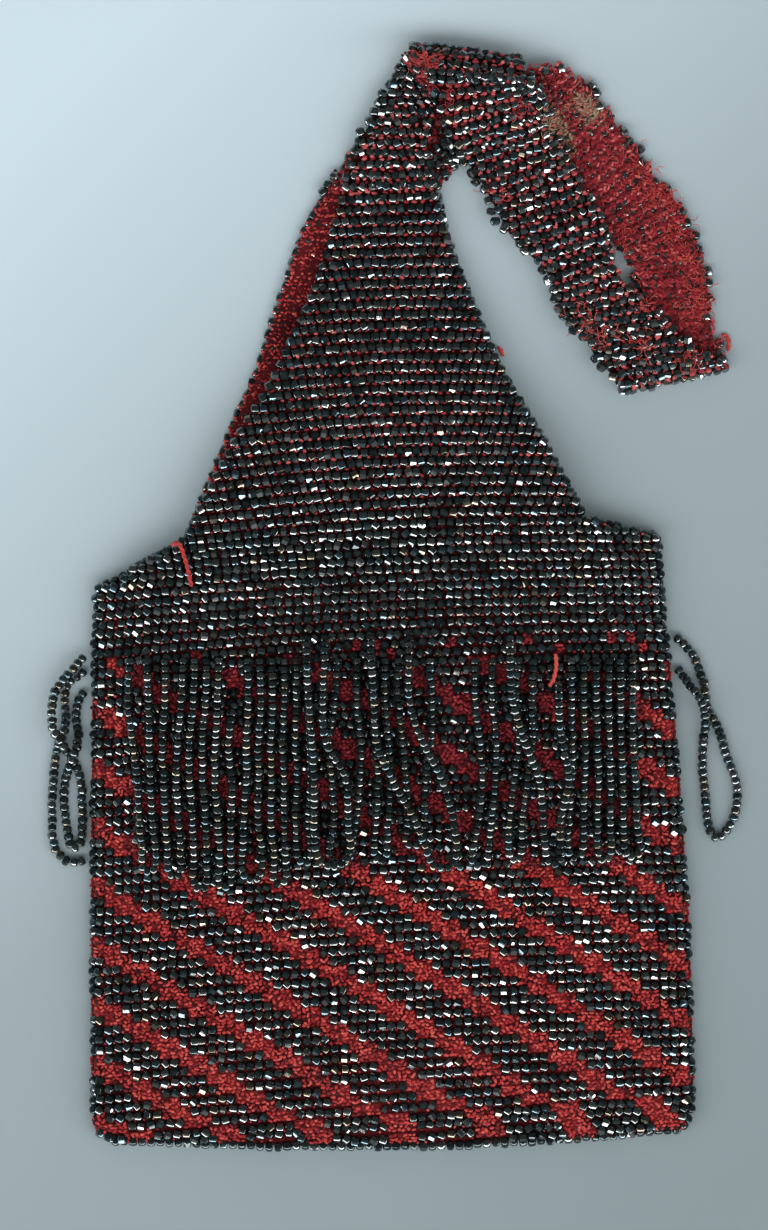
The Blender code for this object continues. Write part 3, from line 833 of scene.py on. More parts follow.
@dataclass
class Spot:
    """One stitch of a wall: where it is, the row's direction, the wall's normal, row and pitch."""

    origin: Array
    along: Array
    normal: Array
    row: float
    pitch: float


@dataclass
class Stitches:
    """One wall's stitches: those with a bead, those of bare yarn, and the thread between beads."""

    beads: list[Spot] = field(default_factory=list)
    bare: list[Spot] = field(default_factory=list)
    threads: list[Spot] = field(default_factory=list)


def on_the_row(share: Array, slack: float = 0.001) -> Array:
    """Those shares of a row's width that lie on the row."""
    return share[(share > -slack) & (share < 1 + slack)]


def gather(spots: Sequence[Spot]) -> Places:
    """Places of stitches."""
    return Places.gather((spot.origin, spot.along, spot.normal) for spot in spots)


@dataclass(frozen=True)
class StitchStyle:
    """How a bare stitch is built: its size, how deep its yarn lies, its lumps and the pad below them, with
    painted shade on the pad and the lowest lumps.
    """

    cell: Pair
    depth: float
    lumps: int
    radius: float
    length_share: float = 0.25
    padded: bool = False
    pad: Triple = (0.86, 0.9, 0.42)
    # painted shade: the pad's low tone stands for the shade in the pits between the lumps
    pad_shade_tone: Pair = (0.02, 0.26)
    lump_shifts: Pair = (-0.1, 0.25)
    lump_stray: float = 0.15
    lump_length: Pair = (0.75, 1.3)
    lump_thickness: Pair = (0.75, 1.15)
    lump_tone: Pair = (2.2, 1.7)
    lean: float = 30.0
    lean_noise: float = 24.0
    # painted shade: share of tone that a stitch's lowest lumps keep, as the shade in the dip between rows
    groove_shade: float = 1.0


@dataclass
class Pouch:
    """The crocheted pouch: two walls of beads, striped with bare yarn, and their tapering tops."""

    form: PouchForm
    dresser: Dresser
    bead_width: float = 2.28
    bead_length: float = 1.95
    body_pitch: float = 19.4 / 9
    top_pitch: float = 1.97
    top_pitch_by: float = 0.5
    end_gap: float = 0.2
    share_step: float = 0.004
    row_step: float = 0.3
    stripe_beads: int = 9
    stripe_shift: float = 3.28
    stripe_first_row: float = 52.7
    stripe_top_row: int = 52
    body_inset: float = 1.75
    top_inset: float = 0.95
    edge_inset: float = 1.1
    body_tilt: float = -27.0
    top_tilt: float = 16.0
    blend_before: float = 4.0
    blend_over: float = 14.0
    lean_width: float = 45.0
    lean_shift: float = 0.45
    top_growth: float = 0.07
    row_scatter: Scatter = Scatter(0.04, 0.06, 0.085, 17.0, 12.0, (1.4, 2.6))
    bead_sunk: float = 1.1
    half_row: float = 34.0
    ground_sunk: float = 1.75
    ground_inner: float = 0.1
    ground_insets: Pair = (2.3, 1.35)
    ground_columns: int = 30
    ground_first_row: float = 0.6
    # painted shade: the ground sheet and the rim get this low tone, standing in for the shade among the beads
    ground_shade_tone: float = 0.1
    rim_inset: float = 2.1
    rim_radius: float = 0.85
    thread_drop: float = 0.36
    thread_share: float = 0.7
    thread_half: Pair = (0.38, 0.3)
    thread_radius: Pair = (0.33, 0.17)
    thread_depth: Triple = (1.0, 0.15, 0.4)
    thread_turn: Pair = (-10.0, 20.0)
    # painted shade: bare stitches of the front within these heights and widths keep only the share below of
    # their tone and take the crimson yarn, for the fringe's shade
    fringe_shade: Pair = (-3.0, 52.0)
    fringe_span: Pair = (-61.0, 57.5)
    shade: float = 0.7
    seam_from: float = 41.5
    seam_cover: float = 0.68
    filling_inset: float = 2.8
    filling_rows: float = 8.0
    filling_margins: Pair = (2.0, 1.5)
    least_apart: float = 1.3
    edge_reach: float = 3.0
    edge_pitch: float = 19.4 / 9 * 0.97
    side_heights: Pair = (0.75, -1.0)
    side_stray: Pair = (0.2, 0.15)
    side_hole: Triple = (0.5, 0.5, 0.6)
    side_hole_spread: float = 0.3
    rim_heights: Pair = (0.95, -1.0)
    rim_stray: Pair = (0.16, 0.2)
    bottom_margin: float = 0.9
    shoulder_margin: float = 1.0
    bare_edge_tips: Pair = (0.8, -0.8)
    bare_edge_out: float = 0.9
    bare_edge_rise: float = 1.6
    # painted shade: the front's stripes have a dark pad under their lumps, for the shade in the pits between
    # them
    stripe_style: StitchStyle = StitchStyle((2.156, 2.29), 1.15, 6, 0.43, 0.27, True)
    back_style: StitchStyle = StitchStyle((2.156, 2.29), 1.15, 4, 0.5, 0.3)
    inner_style: StitchStyle = StitchStyle((1.75, 2.5), 0.25, 6, 0.36, 0.3)
    inner_inset: float = 1.2
    inner_overlap: float = 3.0

    def distances(self, row: int, length: float) -> tuple[Array, Array, float]:
        """Distances of a round's stitches from its left end.

        Args:
            row: Row number.
            length: Length of the row on one wall.

        Returns:
            The distances, which of them are bare, and the pitch.
        """
        if row >= self.form.mouth_row:
            share = (row - self.form.mouth_row) / (self.form.tip_row - self.form.mouth_row)
            narrowed = min(share / self.top_pitch_by, 1.0)
            pitch = self.body_pitch + (self.top_pitch - self.body_pitch) * narrowed
            count = max(2, round(length / pitch))
            return np.linspace(0.0, length, count + 1), np.zeros(count + 1, dtype=bool), length / count
        pitch = self.body_pitch
        if row < self.stripe_top_row:
            start = self.stripe_shift * (self.stripe_first_row - row - 0.5)
        else:
            start = (row % 2) * pitch / 2
        numbers = np.arange(math.floor(-start / pitch), math.ceil((2 * length - start) / pitch) + 1)
        bare = np.isin(numbers % self.stripe_beads, (0, 1, self.stripe_beads - 1))
        if row >= self.stripe_top_row:
            bare = np.zeros_like(bare)
        return start + numbers * pitch, bare, pitch

    def lay_row(self, face: Face, row: int, found: Stitches) -> None:
        """Find the places of one row's beads, bare stitches and threads.

        Args:
            face: Which wall.
            row: Row number.
            found: Takes the places.
        """
        inset = self.top_inset if row >= self.form.mouth_row else self.body_inset
        middle = row + 0.5 + (self.form.back_shift if face is Face.BACK else 0.0)
        if middle >= self.form.tip_row:
            return
        left, right = self.form.ends(face, middle, inset)
        length = float(np.linalg.norm(right - left))
        distances, bare, pitch = self.distances(row, length)
        share = distances / length
        if face is Face.BACK and row < self.form.mouth_row:
            share = 2.0 - share
        share = self.reach_ends(share, pitch / length)
        between = share + pitch / 2 / length
        self.place(face, middle, share[~bare], inset, pitch, found.beads)
        self.place(face, middle, share[bare], inset, pitch, found.bare)
        self.place(face, max(middle - self.thread_drop, 0.0), between[~bare], inset, pitch, found.threads)

    def reach_ends(self, share: Array, step: float) -> Array:
        """Stretch a row a little, so that its first and last stitch lie close to its ends.

        Args:
            share: Shares of the row's width, in either order.
            step: Share of one stitch.

        Returns:
            The stretched shares.
        """
        inside = on_the_row(share)
        first, last = inside.min(), inside.max()
        low, high = min(first, self.end_gap * step), max(last, 1.0 - self.end_gap * step)
        return low + (share - first) * (high - low) / (last - first)

    def place(self, face: Face, row: float, share: Array, inset: float, pitch: float,
              out: list[Spot]) -> None:
        """Add the places of a row's stitches at shares of its width.

        Args:
            face: Which wall.
            row: Row number.
            share: Shares of the width; those off the row are left out.
            inset: How far in from the outline the row's ends are.
            pitch: Along the row from one stitch to the next.
            out: Takes the places.
        """
        share = on_the_row(share)
        if len(share) == 0:
            return
        here = self.on_wall(face, row, share, inset)
        along = unit(self.on_wall(face, row, share + self.share_step, inset) - here)
        next_row = min(row + self.row_step, self.form.tip_row)
        upward = unit(self.on_wall(face, next_row, share, inset) - here)
        normal = unit(np.cross(along, upward))
        outward = 1.0 if face is Face.FRONT else -1.0
        normal = np.where(normal[:, 2:] * outward < 0, -normal, normal)
        for origin, direction, up in zip(here, along, normal):
            out.append(Spot(origin, direction, up, row, pitch))

    def on_wall(self, face: Face, row: float, share: Array, inset: float) -> Array:
        """Points on a wall's outer face, at the height of its bead tops."""
        x, y = self.form.on_row(face, row, share, inset)
        z = self.form.front_height(x, y) if face is Face.FRONT else np.zeros_like(x)
        return np.stack((x, y, z), axis=-1)

    def build(self) -> None:
        """Make the beads and the stitches of both walls, and the beads between the walls."""
        glass = self.dresser.glass()
        for face in Face:
            found = Stitches()
            for row in range(int(self.form.tip_row)):
                self.lay_row(face, row, found)
            self.fill_bottom(face, found)
            if face is Face.FRONT:
                self.cover_seam(found)
            halves = {"lower": (0.0, self.half_row), "upper": (self.half_row, self.form.tip_row)}
            for part, (low, high) in halves.items():
                chosen = [spot for spot in found.beads if low <= spot.row < high]
                heap = self.row_beads(face, chosen, Seed.ROW_BEADS.chance(int(low)))
                seat(heap.build(f"pouch_beads_{face.value}_{part}", glass), ["pouch"])
            self.yarn_pieces(face, found)
        seat(self.edge_beads().build("pouch_beads_edge", glass), ["pouch"])

    def row_beads(self, face: Face, chosen: Sequence[Spot], rng: Chance) -> Heap:
        """Set row beads down, each a little out of line.

        Args:
            face: Which wall.
            chosen: Their places.
            rng: Source of chance.

        Returns:
            The beads.
        """
        count = len(chosen)
        scatter = self.row_scatter
        places = gather(chosen)
        rows = np.array([spot.row for spot in chosen])
        pitches = np.array([spot.pitch for spot in chosen])
        blend = ease((rows - self.form.mouth_row + self.blend_before) / self.blend_over)
        side = np.clip(places.origins[:, 0] / self.lean_width + self.lean_shift, -1.0, 1.0)
        lean = self.body_tilt * (1 - blend) + self.top_tilt * np.cos(side * math.pi) * blend
        turn = np.radians(lean + rng.normal(0.0, scatter.turn, count))
        width = self.bead_width * (1 + self.top_growth * blend) * rng.normal(1.0, scatter.width, count)
        length = np.minimum(self.bead_length * rng.normal(1.0, scatter.length, count), pitches)
        shift = rng.normal(0.0, scatter.place, (count, 3)) - places.up * self.bead_sunk
        tip = np.radians(rng.normal(0.0, scatter.tip, count))
        heap = Heap()
        form = BeadForm.ROW if face is Face.FRONT else BeadForm.HIDDEN
        heap.add(form.value, places.shift(shift).turn_in_plane(turn).tip(tip), sizes(length, width),
                 *cut_turns(rng, count), rng.beta(*scatter.tone, count), finish=pick_glass(rng, count))
        return heap

    def side_rows(self) -> Iterable[tuple[float, bool, float, float]]:
        """Each row's two ends: -1 on the left or 1 on the right, whether bare, and place."""
        form = self.form
        for side, sign in ((0, -1.0), (1, 1.0)):
            first = int(form.corner_row) if side == 0 else 0
            last = form.left_shoulder_row if side == 0 else form.right_shoulder_row
            for row in range(first, int(last)):
                ends = form.ends(Face.FRONT, row + 0.5, self.body_inset)
                length = float(np.linalg.norm(ends[1] - ends[0]))
                distances, bare, _ = self.distances(row, length)
                nearest = np.abs(distances - side * length).argmin()
                x, y = form.ends(Face.FRONT, row + 0.5, self.edge_inset)[side]
                yield sign, bool(bare[nearest]), x, y

    def bare_edge(self) -> Places:
        """Places of the bare stitches where a stripe runs round the pouch's side."""
        found = []
        for sign, bare, x, y in self.side_rows():
            for tip in self.bare_edge_tips if bare else ():
                height = self.form.middle_z + self.bare_edge_rise * tip
                origin = (x + self.bare_edge_out * sign, y, height)
                found.append((origin, (0.0, 1.0, 0.0), (sign, 0.0, tip)))
        return Places.gather(found)

    def bottom_outline(self) -> Array:
        """The pouch's lower edge, from left to right."""
        rows = self.form.body_rows
        return np.array([row[1:3] for row in rows[4::-1]] + [rows[0][3:5]])

    def fill_bottom(self, face: Face, found: Stitches) -> None:
        """Carry the stripes on along the bottom, where the slanting rows leave a wedge free.

        Args:
            face: Which wall.
            found: Its stitches, which take the new ones.
        """
        route = Route(self.bottom_outline())
        first, last = self.filling_margins
        low = []
        for kind in (found.beads, found.bare):
            low += [(spot.origin[:2], kind) for spot in kind if spot.row < self.filling_rows]
        for distance in np.arange(first, route.length - last, self.edge_pitch):
            ahead = route.direction(distance, self.edge_reach)
            place = route.at(distance) + np.array((-ahead[1], ahead[0])) * self.filling_inset
            apart = [float(np.linalg.norm(other - place)) for other, _ in low]
            if min(apart) < self.least_apart:
                continue
            kind = low[int(np.argmin(apart))][1]
            low.append((place, kind))
            front = face is Face.FRONT
            height = float(self.form.front_height(*place)) if front else 0.0
            outward = np.array((0.0, 0.0, 1.0 if front else -1.0))
            origin, along = np.array((*place, height)), np.array((*ahead, 0.0))
            kind.append(Spot(origin, along, outward, 0.5, self.body_pitch))

    def cover_seam(self, found: Stitches) -> None:
        """Put beads on most bare stitches of the front along the seam that the fringe hangs from."""
        rng = Seed.SEAM.chance()
        kept = []
        for spot in found.bare:
            covered = spot.origin[1] > self.seam_from and rng.random() < self.seam_cover
            (found.beads if covered else kept).append(spot)
        found.bare = kept

    def edge_spots(self, rng: Chance) -> list[Placed]:
        """Places of the beads round the sides and the bottom: origin, hole direction and outward.

        Args:
            rng: Source of chance.

        Returns:
            The places.
        """
        form = self.form
        across, along, rise = self.side_hole
        found = []
        for sign, bare, x, y in self.side_rows():
            for height in () if bare else self.side_heights:
                out, up = (rng.normal(0.0, stray) for stray in self.side_stray)
                origin = np.array((x + sign * out, y + up, form.middle_z + height))
                hole = np.array((across * sign, rng.normal(along, self.side_hole_spread), rise))
                found.append((origin, hole, np.array((sign, 0.0, 0.0))))
        found += self.along_edge(self.bottom_outline(), -1.0, self.bottom_margin, rng)
        left = np.array([form.body_rows[-1][1:3], form.front_rows[0][1:3]])
        right = np.array([form.front_rows[0][3:5], form.body_rows[-1][3:5]])
        for shoulder in (left, right):
            found += self.along_edge(shoulder, 1.0, self.shoulder_margin, rng)
        return found

    def along_edge(self, outline: Array, side: float, margin: float, rng: Chance) -> list[Placed]:
        """Beads side by side along a stretch of the outline.

        Args:
            outline: The stretch, from left to right.
            side: 1 where the outside is up the page, -1 where it is down.
            margin: What is left free at its ends.
            rng: Source of chance.

        Returns:
            Origin, hole direction and outward direction of each bead.
        """
        route = Route(outline)
        stray, rise = self.rim_stray
        found = []
        for distance in np.arange(margin, route.length - margin, self.edge_pitch):
            ahead = route.direction(distance, self.edge_reach)
            outward = np.array((-ahead[1], ahead[0], 0.0)) * side
            for height in self.rim_heights:
                inset = self.edge_inset + rng.normal(0.0, stray)
                origin = np.array((*route.at(distance), self.form.middle_z + height)) - outward * inset
                found.append((origin, np.array((*ahead, rng.normal(0.0, rise))), outward))
        return found

    def edge_beads(self) -> Heap:
        """Beads round the sides, the shoulders and the bottom, where the two walls meet."""
        rng = Seed.EDGE_BEADS.chance()
        found = self.edge_spots(rng)
        count = len(found)
        heap = Heap()
        width = self.bead_width * rng.normal(1.0, 0.04, count)
        length = self.bead_length * rng.normal(0.95, 0.05, count)
        heap.add(BeadForm.STRUNG.value, Places.gather(found), sizes(length, width),
                 rng.uniform(0.0, math.tau, count), rng.uniform(0.2, 1.0, count),
                 rng.beta(1.4, 2.6, count), finish=pick_glass(rng, count, EDGE_SHARES))
        return heap

    def yarn_pieces(self, face: Face, found: Stitches) -> None:
        """Make a wall's crocheted ground with the thread between its beads, and its bare stitches.

        Args:
            face: Which wall.
            found: Places of the stitches.
        """
        rng = (Seed.FRONT_YARN if face is Face.FRONT else Seed.BACK_YARN).chance()
        yarn = [self.dresser.get(RED_YARN), self.dresser.get(CRIMSON_YARN)]
        ground = Heap()
        # painted shade: the ground and the rim are laid dark, as the shade between the beads
        ground.add_surface(*self.slab(face), self.ground_shade_tone)
        if face is Face.FRONT:
            ground.add_surface(*self.rim(), self.ground_shade_tone)
        self.threads(ground, face, found.threads, rng)
        seat(ground.build(f"pouch_ground_{face.value}", yarn), ["pouch"])
        stripes = Heap()
        style = self.stripe_style if face is Face.FRONT else self.back_style
        if face is Face.FRONT:
            # painted shade: stitches under the fringe are laid darker and in crimson yarn; the rest keep
            # their full tone
            lit = [spot for spot in found.bare if not self.under_fringe(spot)]
            shaded = [spot for spot in found.bare if self.under_fringe(spot)]
            lay_stitches(stripes, gather(lit), style, rng)
            lay_stitches(stripes, gather(shaded), style, rng, shade=self.shade, finish=1)
            lay_stitches(stripes, self.bare_edge(), style, rng)
        else:
            lay_stitches(stripes, gather(found.bare), style, rng)
            self.inner_stitches(stripes, rng)
        seat(stripes.build(f"pouch_stripes_{face.value}", yarn), ["pouch"])

    def under_fringe(self, spot: Spot) -> bool:
        """Whether a stitch of the front lies under the fringe, where its shade is painted on."""
        low, high = self.fringe_shade
        left, right = self.fringe_span
        return left < spot.origin[0] < right and low < spot.origin[1] < high

    def threads(self, heap: Heap, face: Face, spots: Sequence[Spot], rng: Chance) -> None:
        """Dots of yarn where the thread shows between two beads.

        Args:
            heap: Takes them.
            face: Which wall.
            spots: Their places.
            rng: Source of chance.
        """
        mouth = self.form.mouth_row
        spots = [spot for spot in spots if spot.row > mouth or rng.random() < self.thread_share]
        count = len(spots)
        places = gather(spots)
        top = ease((np.array([spot.row for spot in spots]) - mouth - 2.0) / 10.0)
        half = (self.thread_half[0] + self.thread_half[1] * top) * rng.uniform(0.6, 1.2, count)
        radius = (self.thread_radius[0] + self.thread_radius[1] * top) * rng.uniform(0.75, 1.15, count)
        deep, raised, stray = self.thread_depth
        depth = (deep - raised * top + rng.uniform(0.0, stray, count))[:, None]
        moved = places.shift(rng.normal(0.0, 0.1, (count, 3)) - places.up * depth)
        moved = moved.turn_in_plane(np.radians(rng.normal(*self.thread_turn, count)))
        form = YarnForm.KNOT if face is Face.FRONT else YarnForm.PLAIN_KNOT
        heap.add(form.value, moved, sizes(half, radius), rng.uniform(0, 1, count),
                 1.0, rng.uniform(0.25, 1.0, count), finish=1)

    def slab(self, face: Face) -> Surface:
        """The wall's ground as a closed sheet with a thickness.

        Args:
            face: Which wall.

        Returns:
            Points and faces.
        """
        form = self.form
        shares = 0.5 - 0.5 * np.cos(np.linspace(0.0, math.pi, self.ground_columns))
        outer, inner = [], []
        for row in np.arange(0.0, form.tip_row + 1.0):
            inset = self.ground_insets[1 if row > form.mouth_row else 0]
            x, y = form.on_row(face, max(row, self.ground_first_row), shares, inset)
            if face is Face.FRONT:
                top = form.front_height(x, y)
                heights = top - self.ground_sunk, top - form.wall + self.ground_inner
            else:
                heights = np.full_like(x, self.ground_sunk), np.full_like(x, form.wall - self.ground_inner)
            for layer, height in zip((outer, inner), heights):
                layer.append(np.stack((x, y, height), axis=-1))
        return shell(np.array(outer), np.array(inner), face is Face.BACK)

    def rim(self) -> Surface:
        """The fold that joins the two walls, down the left side, along the bottom and up the right."""
        form = self.form
        left_rows = (*np.arange(form.left_shoulder_row, 2.0, -1.5), 3.0, 2.0, 1.0, 0.5)
        right_rows = np.arange(0.5, form.right_shoulder_row, 1.5)
        left = [form.ends(Face.FRONT, row, self.rim_inset)[0] for row in left_rows]
        right = [form.ends(Face.FRONT, row, self.rim_inset)[1] for row in right_rows]
        plan = smooth_path(left + right, 2.0)
        path = np.column_stack((plan, np.full(len(plan), form.middle_z)))
        return tube(path, np.full(len(path), self.rim_radius), 6)

    def inner_stitches(self, heap: Heap, rng: Chance) -> None:
        """Bare stitches on the back top's inner face, where it shows beside the front top.

        Args:
            heap: Takes the stitches.
            rng: Source of chance.
        """
        form = self.form
        width = self.inner_style.cell[0]
        found: list[Spot] = []
        for row in range(int(form.mouth_row) + 3, int(form.tip_row)):
            left, right = form.ends(Face.BACK, row + 0.5, self.inner_inset)
            front_left, _ = form.ends(Face.FRONT, row + 0.5, 0.0)
            length = float(np.linalg.norm(right - left))
            reach = max(front_left[0] - left[0], 0.0) + self.inner_overlap
            share = np.arange(0.3, reach, width) / length
            for x, y in zip(*form.on_row(Face.BACK, row + 0.5, share, self.inner_inset)):
                origin = np.array((x, y, form.wall))
                along, upward = np.array((1.0, 0.05, 0.0)), np.array((0.0, 0.0, 1.0))
                found.append(Spot(origin, along, upward, row, width))
        lay_stitches(heap, gather(found), self.inner_style, rng)


# The turn about the hole, in degrees, at which a facet mirrors the bar light, how far it strays, and the
# share of faceted beads that have it; then how smooth the rounded and the faceted beads are shaded.
FLASH_TURN, FLASH_SPREAD, FLASH_SHARE = 24.6, 6.0, 0.34
ROUNDED_SOFTNESS, FACETED_SOFTNESS = (0.6, 1.0), (0.0, 0.3)


def cut_turns(rng: Chance, count: int, rounded: float = 0.6) -> tuple[Array, Array]:
    """Draw how row beads are turned and how smooth they are shaded.

    Args:
        rng: Source of chance.
        count: Number of beads.
        rounded: Share that looks rounded; the others show flat facets, and some of them flash with one.

    Returns:
        Each bead's turn about its hole, in radians, and its softness.
    """
    is_round = rng.random(count) < rounded
    soft = np.where(is_round, rng.uniform(*ROUNDED_SOFTNESS, count), rng.uniform(*FACETED_SOFTNESS, count))
    flashing = ~is_round & (rng.random(count) < FLASH_SHARE)
    turns = rng.uniform(0.0, math.tau, count)
    return np.where(flashing, np.radians(rng.normal(FLASH_TURN, FLASH_SPREAD, count)), turns), soft


def pick_glass(rng: Chance, count: int, shares: tuple[float, ...] = GLASS_SHARES) -> Array:
    """Material numbers of beads, drawn by their shares."""
    return rng.choice(len(shares), count, p=shares)


def shell(outer: Array, inner: Array, flipped: bool) -> Surface:
    """Join two grids of points into one closed sheet.

    Args:
        outer: Rows of points on one face.
        inner: The same on the other.
        flipped: True if the outer face looks down.

    Returns:
        Points and faces.
    """
    rows, columns = outer.shape[:2]
    points = np.concatenate((outer.reshape(-1, 3), inner.reshape(-1, 3)))
    offset = rows * columns
    faces: Faces = []
    for i in range(rows - 1):
        for j in range(columns - 1):
            a, b = i * columns + j, i * columns + j + 1
            c, d = b + columns, a + columns
            faces.append((a, b, c, d))
            faces.append((offset + a, offset + d, offset + c, offset + b))
    edge = list(range(columns))
    edge += [i * columns + columns - 1 for i in range(1, rows)]
    edge += [(rows - 1) * columns + j for j in range(columns - 2, -1, -1)]
    edge += [i * columns for i in range(rows - 2, 0, -1)]
    for a, b in zip(edge, edge[1:] + edge[:1]):
        faces.append((b, a, offset + a, offset + b))
    if flipped:
        faces = [face[::-1] for face in faces]
    return points, faces


def lay_stitches(heap: Heap, places: Places, style: StitchStyle, rng: Chance,
                 wear: Array | float = 0.0, shade: Array | float = 1.0, finish: int = 0) -> None:
    """Lay bare stitches, each a few short lumps of yarn that lean to and fro.

    Args:
        heap: Takes the stitches.
        places: Where they go.
        style: How each is built.
        rng: Source of chance.
        wear: How worn each stitch is.
        shade: How much of its tone each stitch keeps; under the fringe this share is painted shade.
        finish: Number of the material.
    """
    count = len(places.origins)
    across = unit(places.along)
    upward = unit(np.cross(places.up, places.along))
    width, height = style.cell
    tiers = style.lumps // 2
    outward = unit(places.up)
    if style.padded:
        pad_width, pad_height, pad_drop = style.pad
        size = np.tile((width * pad_width, height * pad_height, style.radius), (count, 1))
        sunk = places.shift(-outward * (style.depth + pad_drop))
        # painted shade: the pad is laid dark, as the shade in the pits between the lumps
        heap.add(YarnForm.PLAIN_KNOT.value, sunk, size, np.zeros(count), 1.0,
                 rng.uniform(*style.pad_shade_tone, count) * shade, wear, finish)
    for lump in range(style.lumps):
        column, tier = lump % 2, lump // 2
        shift_x = (column - 0.5 + style.lump_shifts[tier % 2]) * width / 2
        shift_y = ((tier + 0.5) / tiers - 0.5) * height
        lean = np.radians((style.lean if column else -style.lean) + rng.normal(0.0, style.lean_noise, count))
        # painted shade: the lowest tier of lumps keeps less of its tone, as the shade in the dip between rows
        lit = shade * (style.groove_shade if tier == 0 else 1.0)
        offset = across * shift_x + upward * shift_y + rng.normal(0.0, style.lump_stray, (count, 3))
        half = width * style.length_share * rng.uniform(*style.lump_length, count)
        thick = style.radius * rng.uniform(*style.lump_thickness, count)
        moved = places.shift(offset - outward * style.depth).turn_in_plane(lean)
        heap.add(YarnForm.PLAIN_KNOT.value, moved, sizes(half, thick), rng.uniform(0.0, 1.0, count),
                 1.0, rng.beta(*style.lump_tone, count) * lit, wear, finish)


# Strap

@dataclass
class StrapPlaces:
    """Places on the strap, each with the direction of its hole or row and the direction outward."""

    beads: list[Placed]
    threads: list[Placed]
    bare: list[Placed]
    edge: list[Placed]


@dataclass(frozen=True)
class Tufts:
    """Loose fibres round some places: how much of the strap they grow from, how many, tone and wear."""

    roots: int
    fibres: int
    tone: float
    wear: float
    places: tuple[Pair, ...]


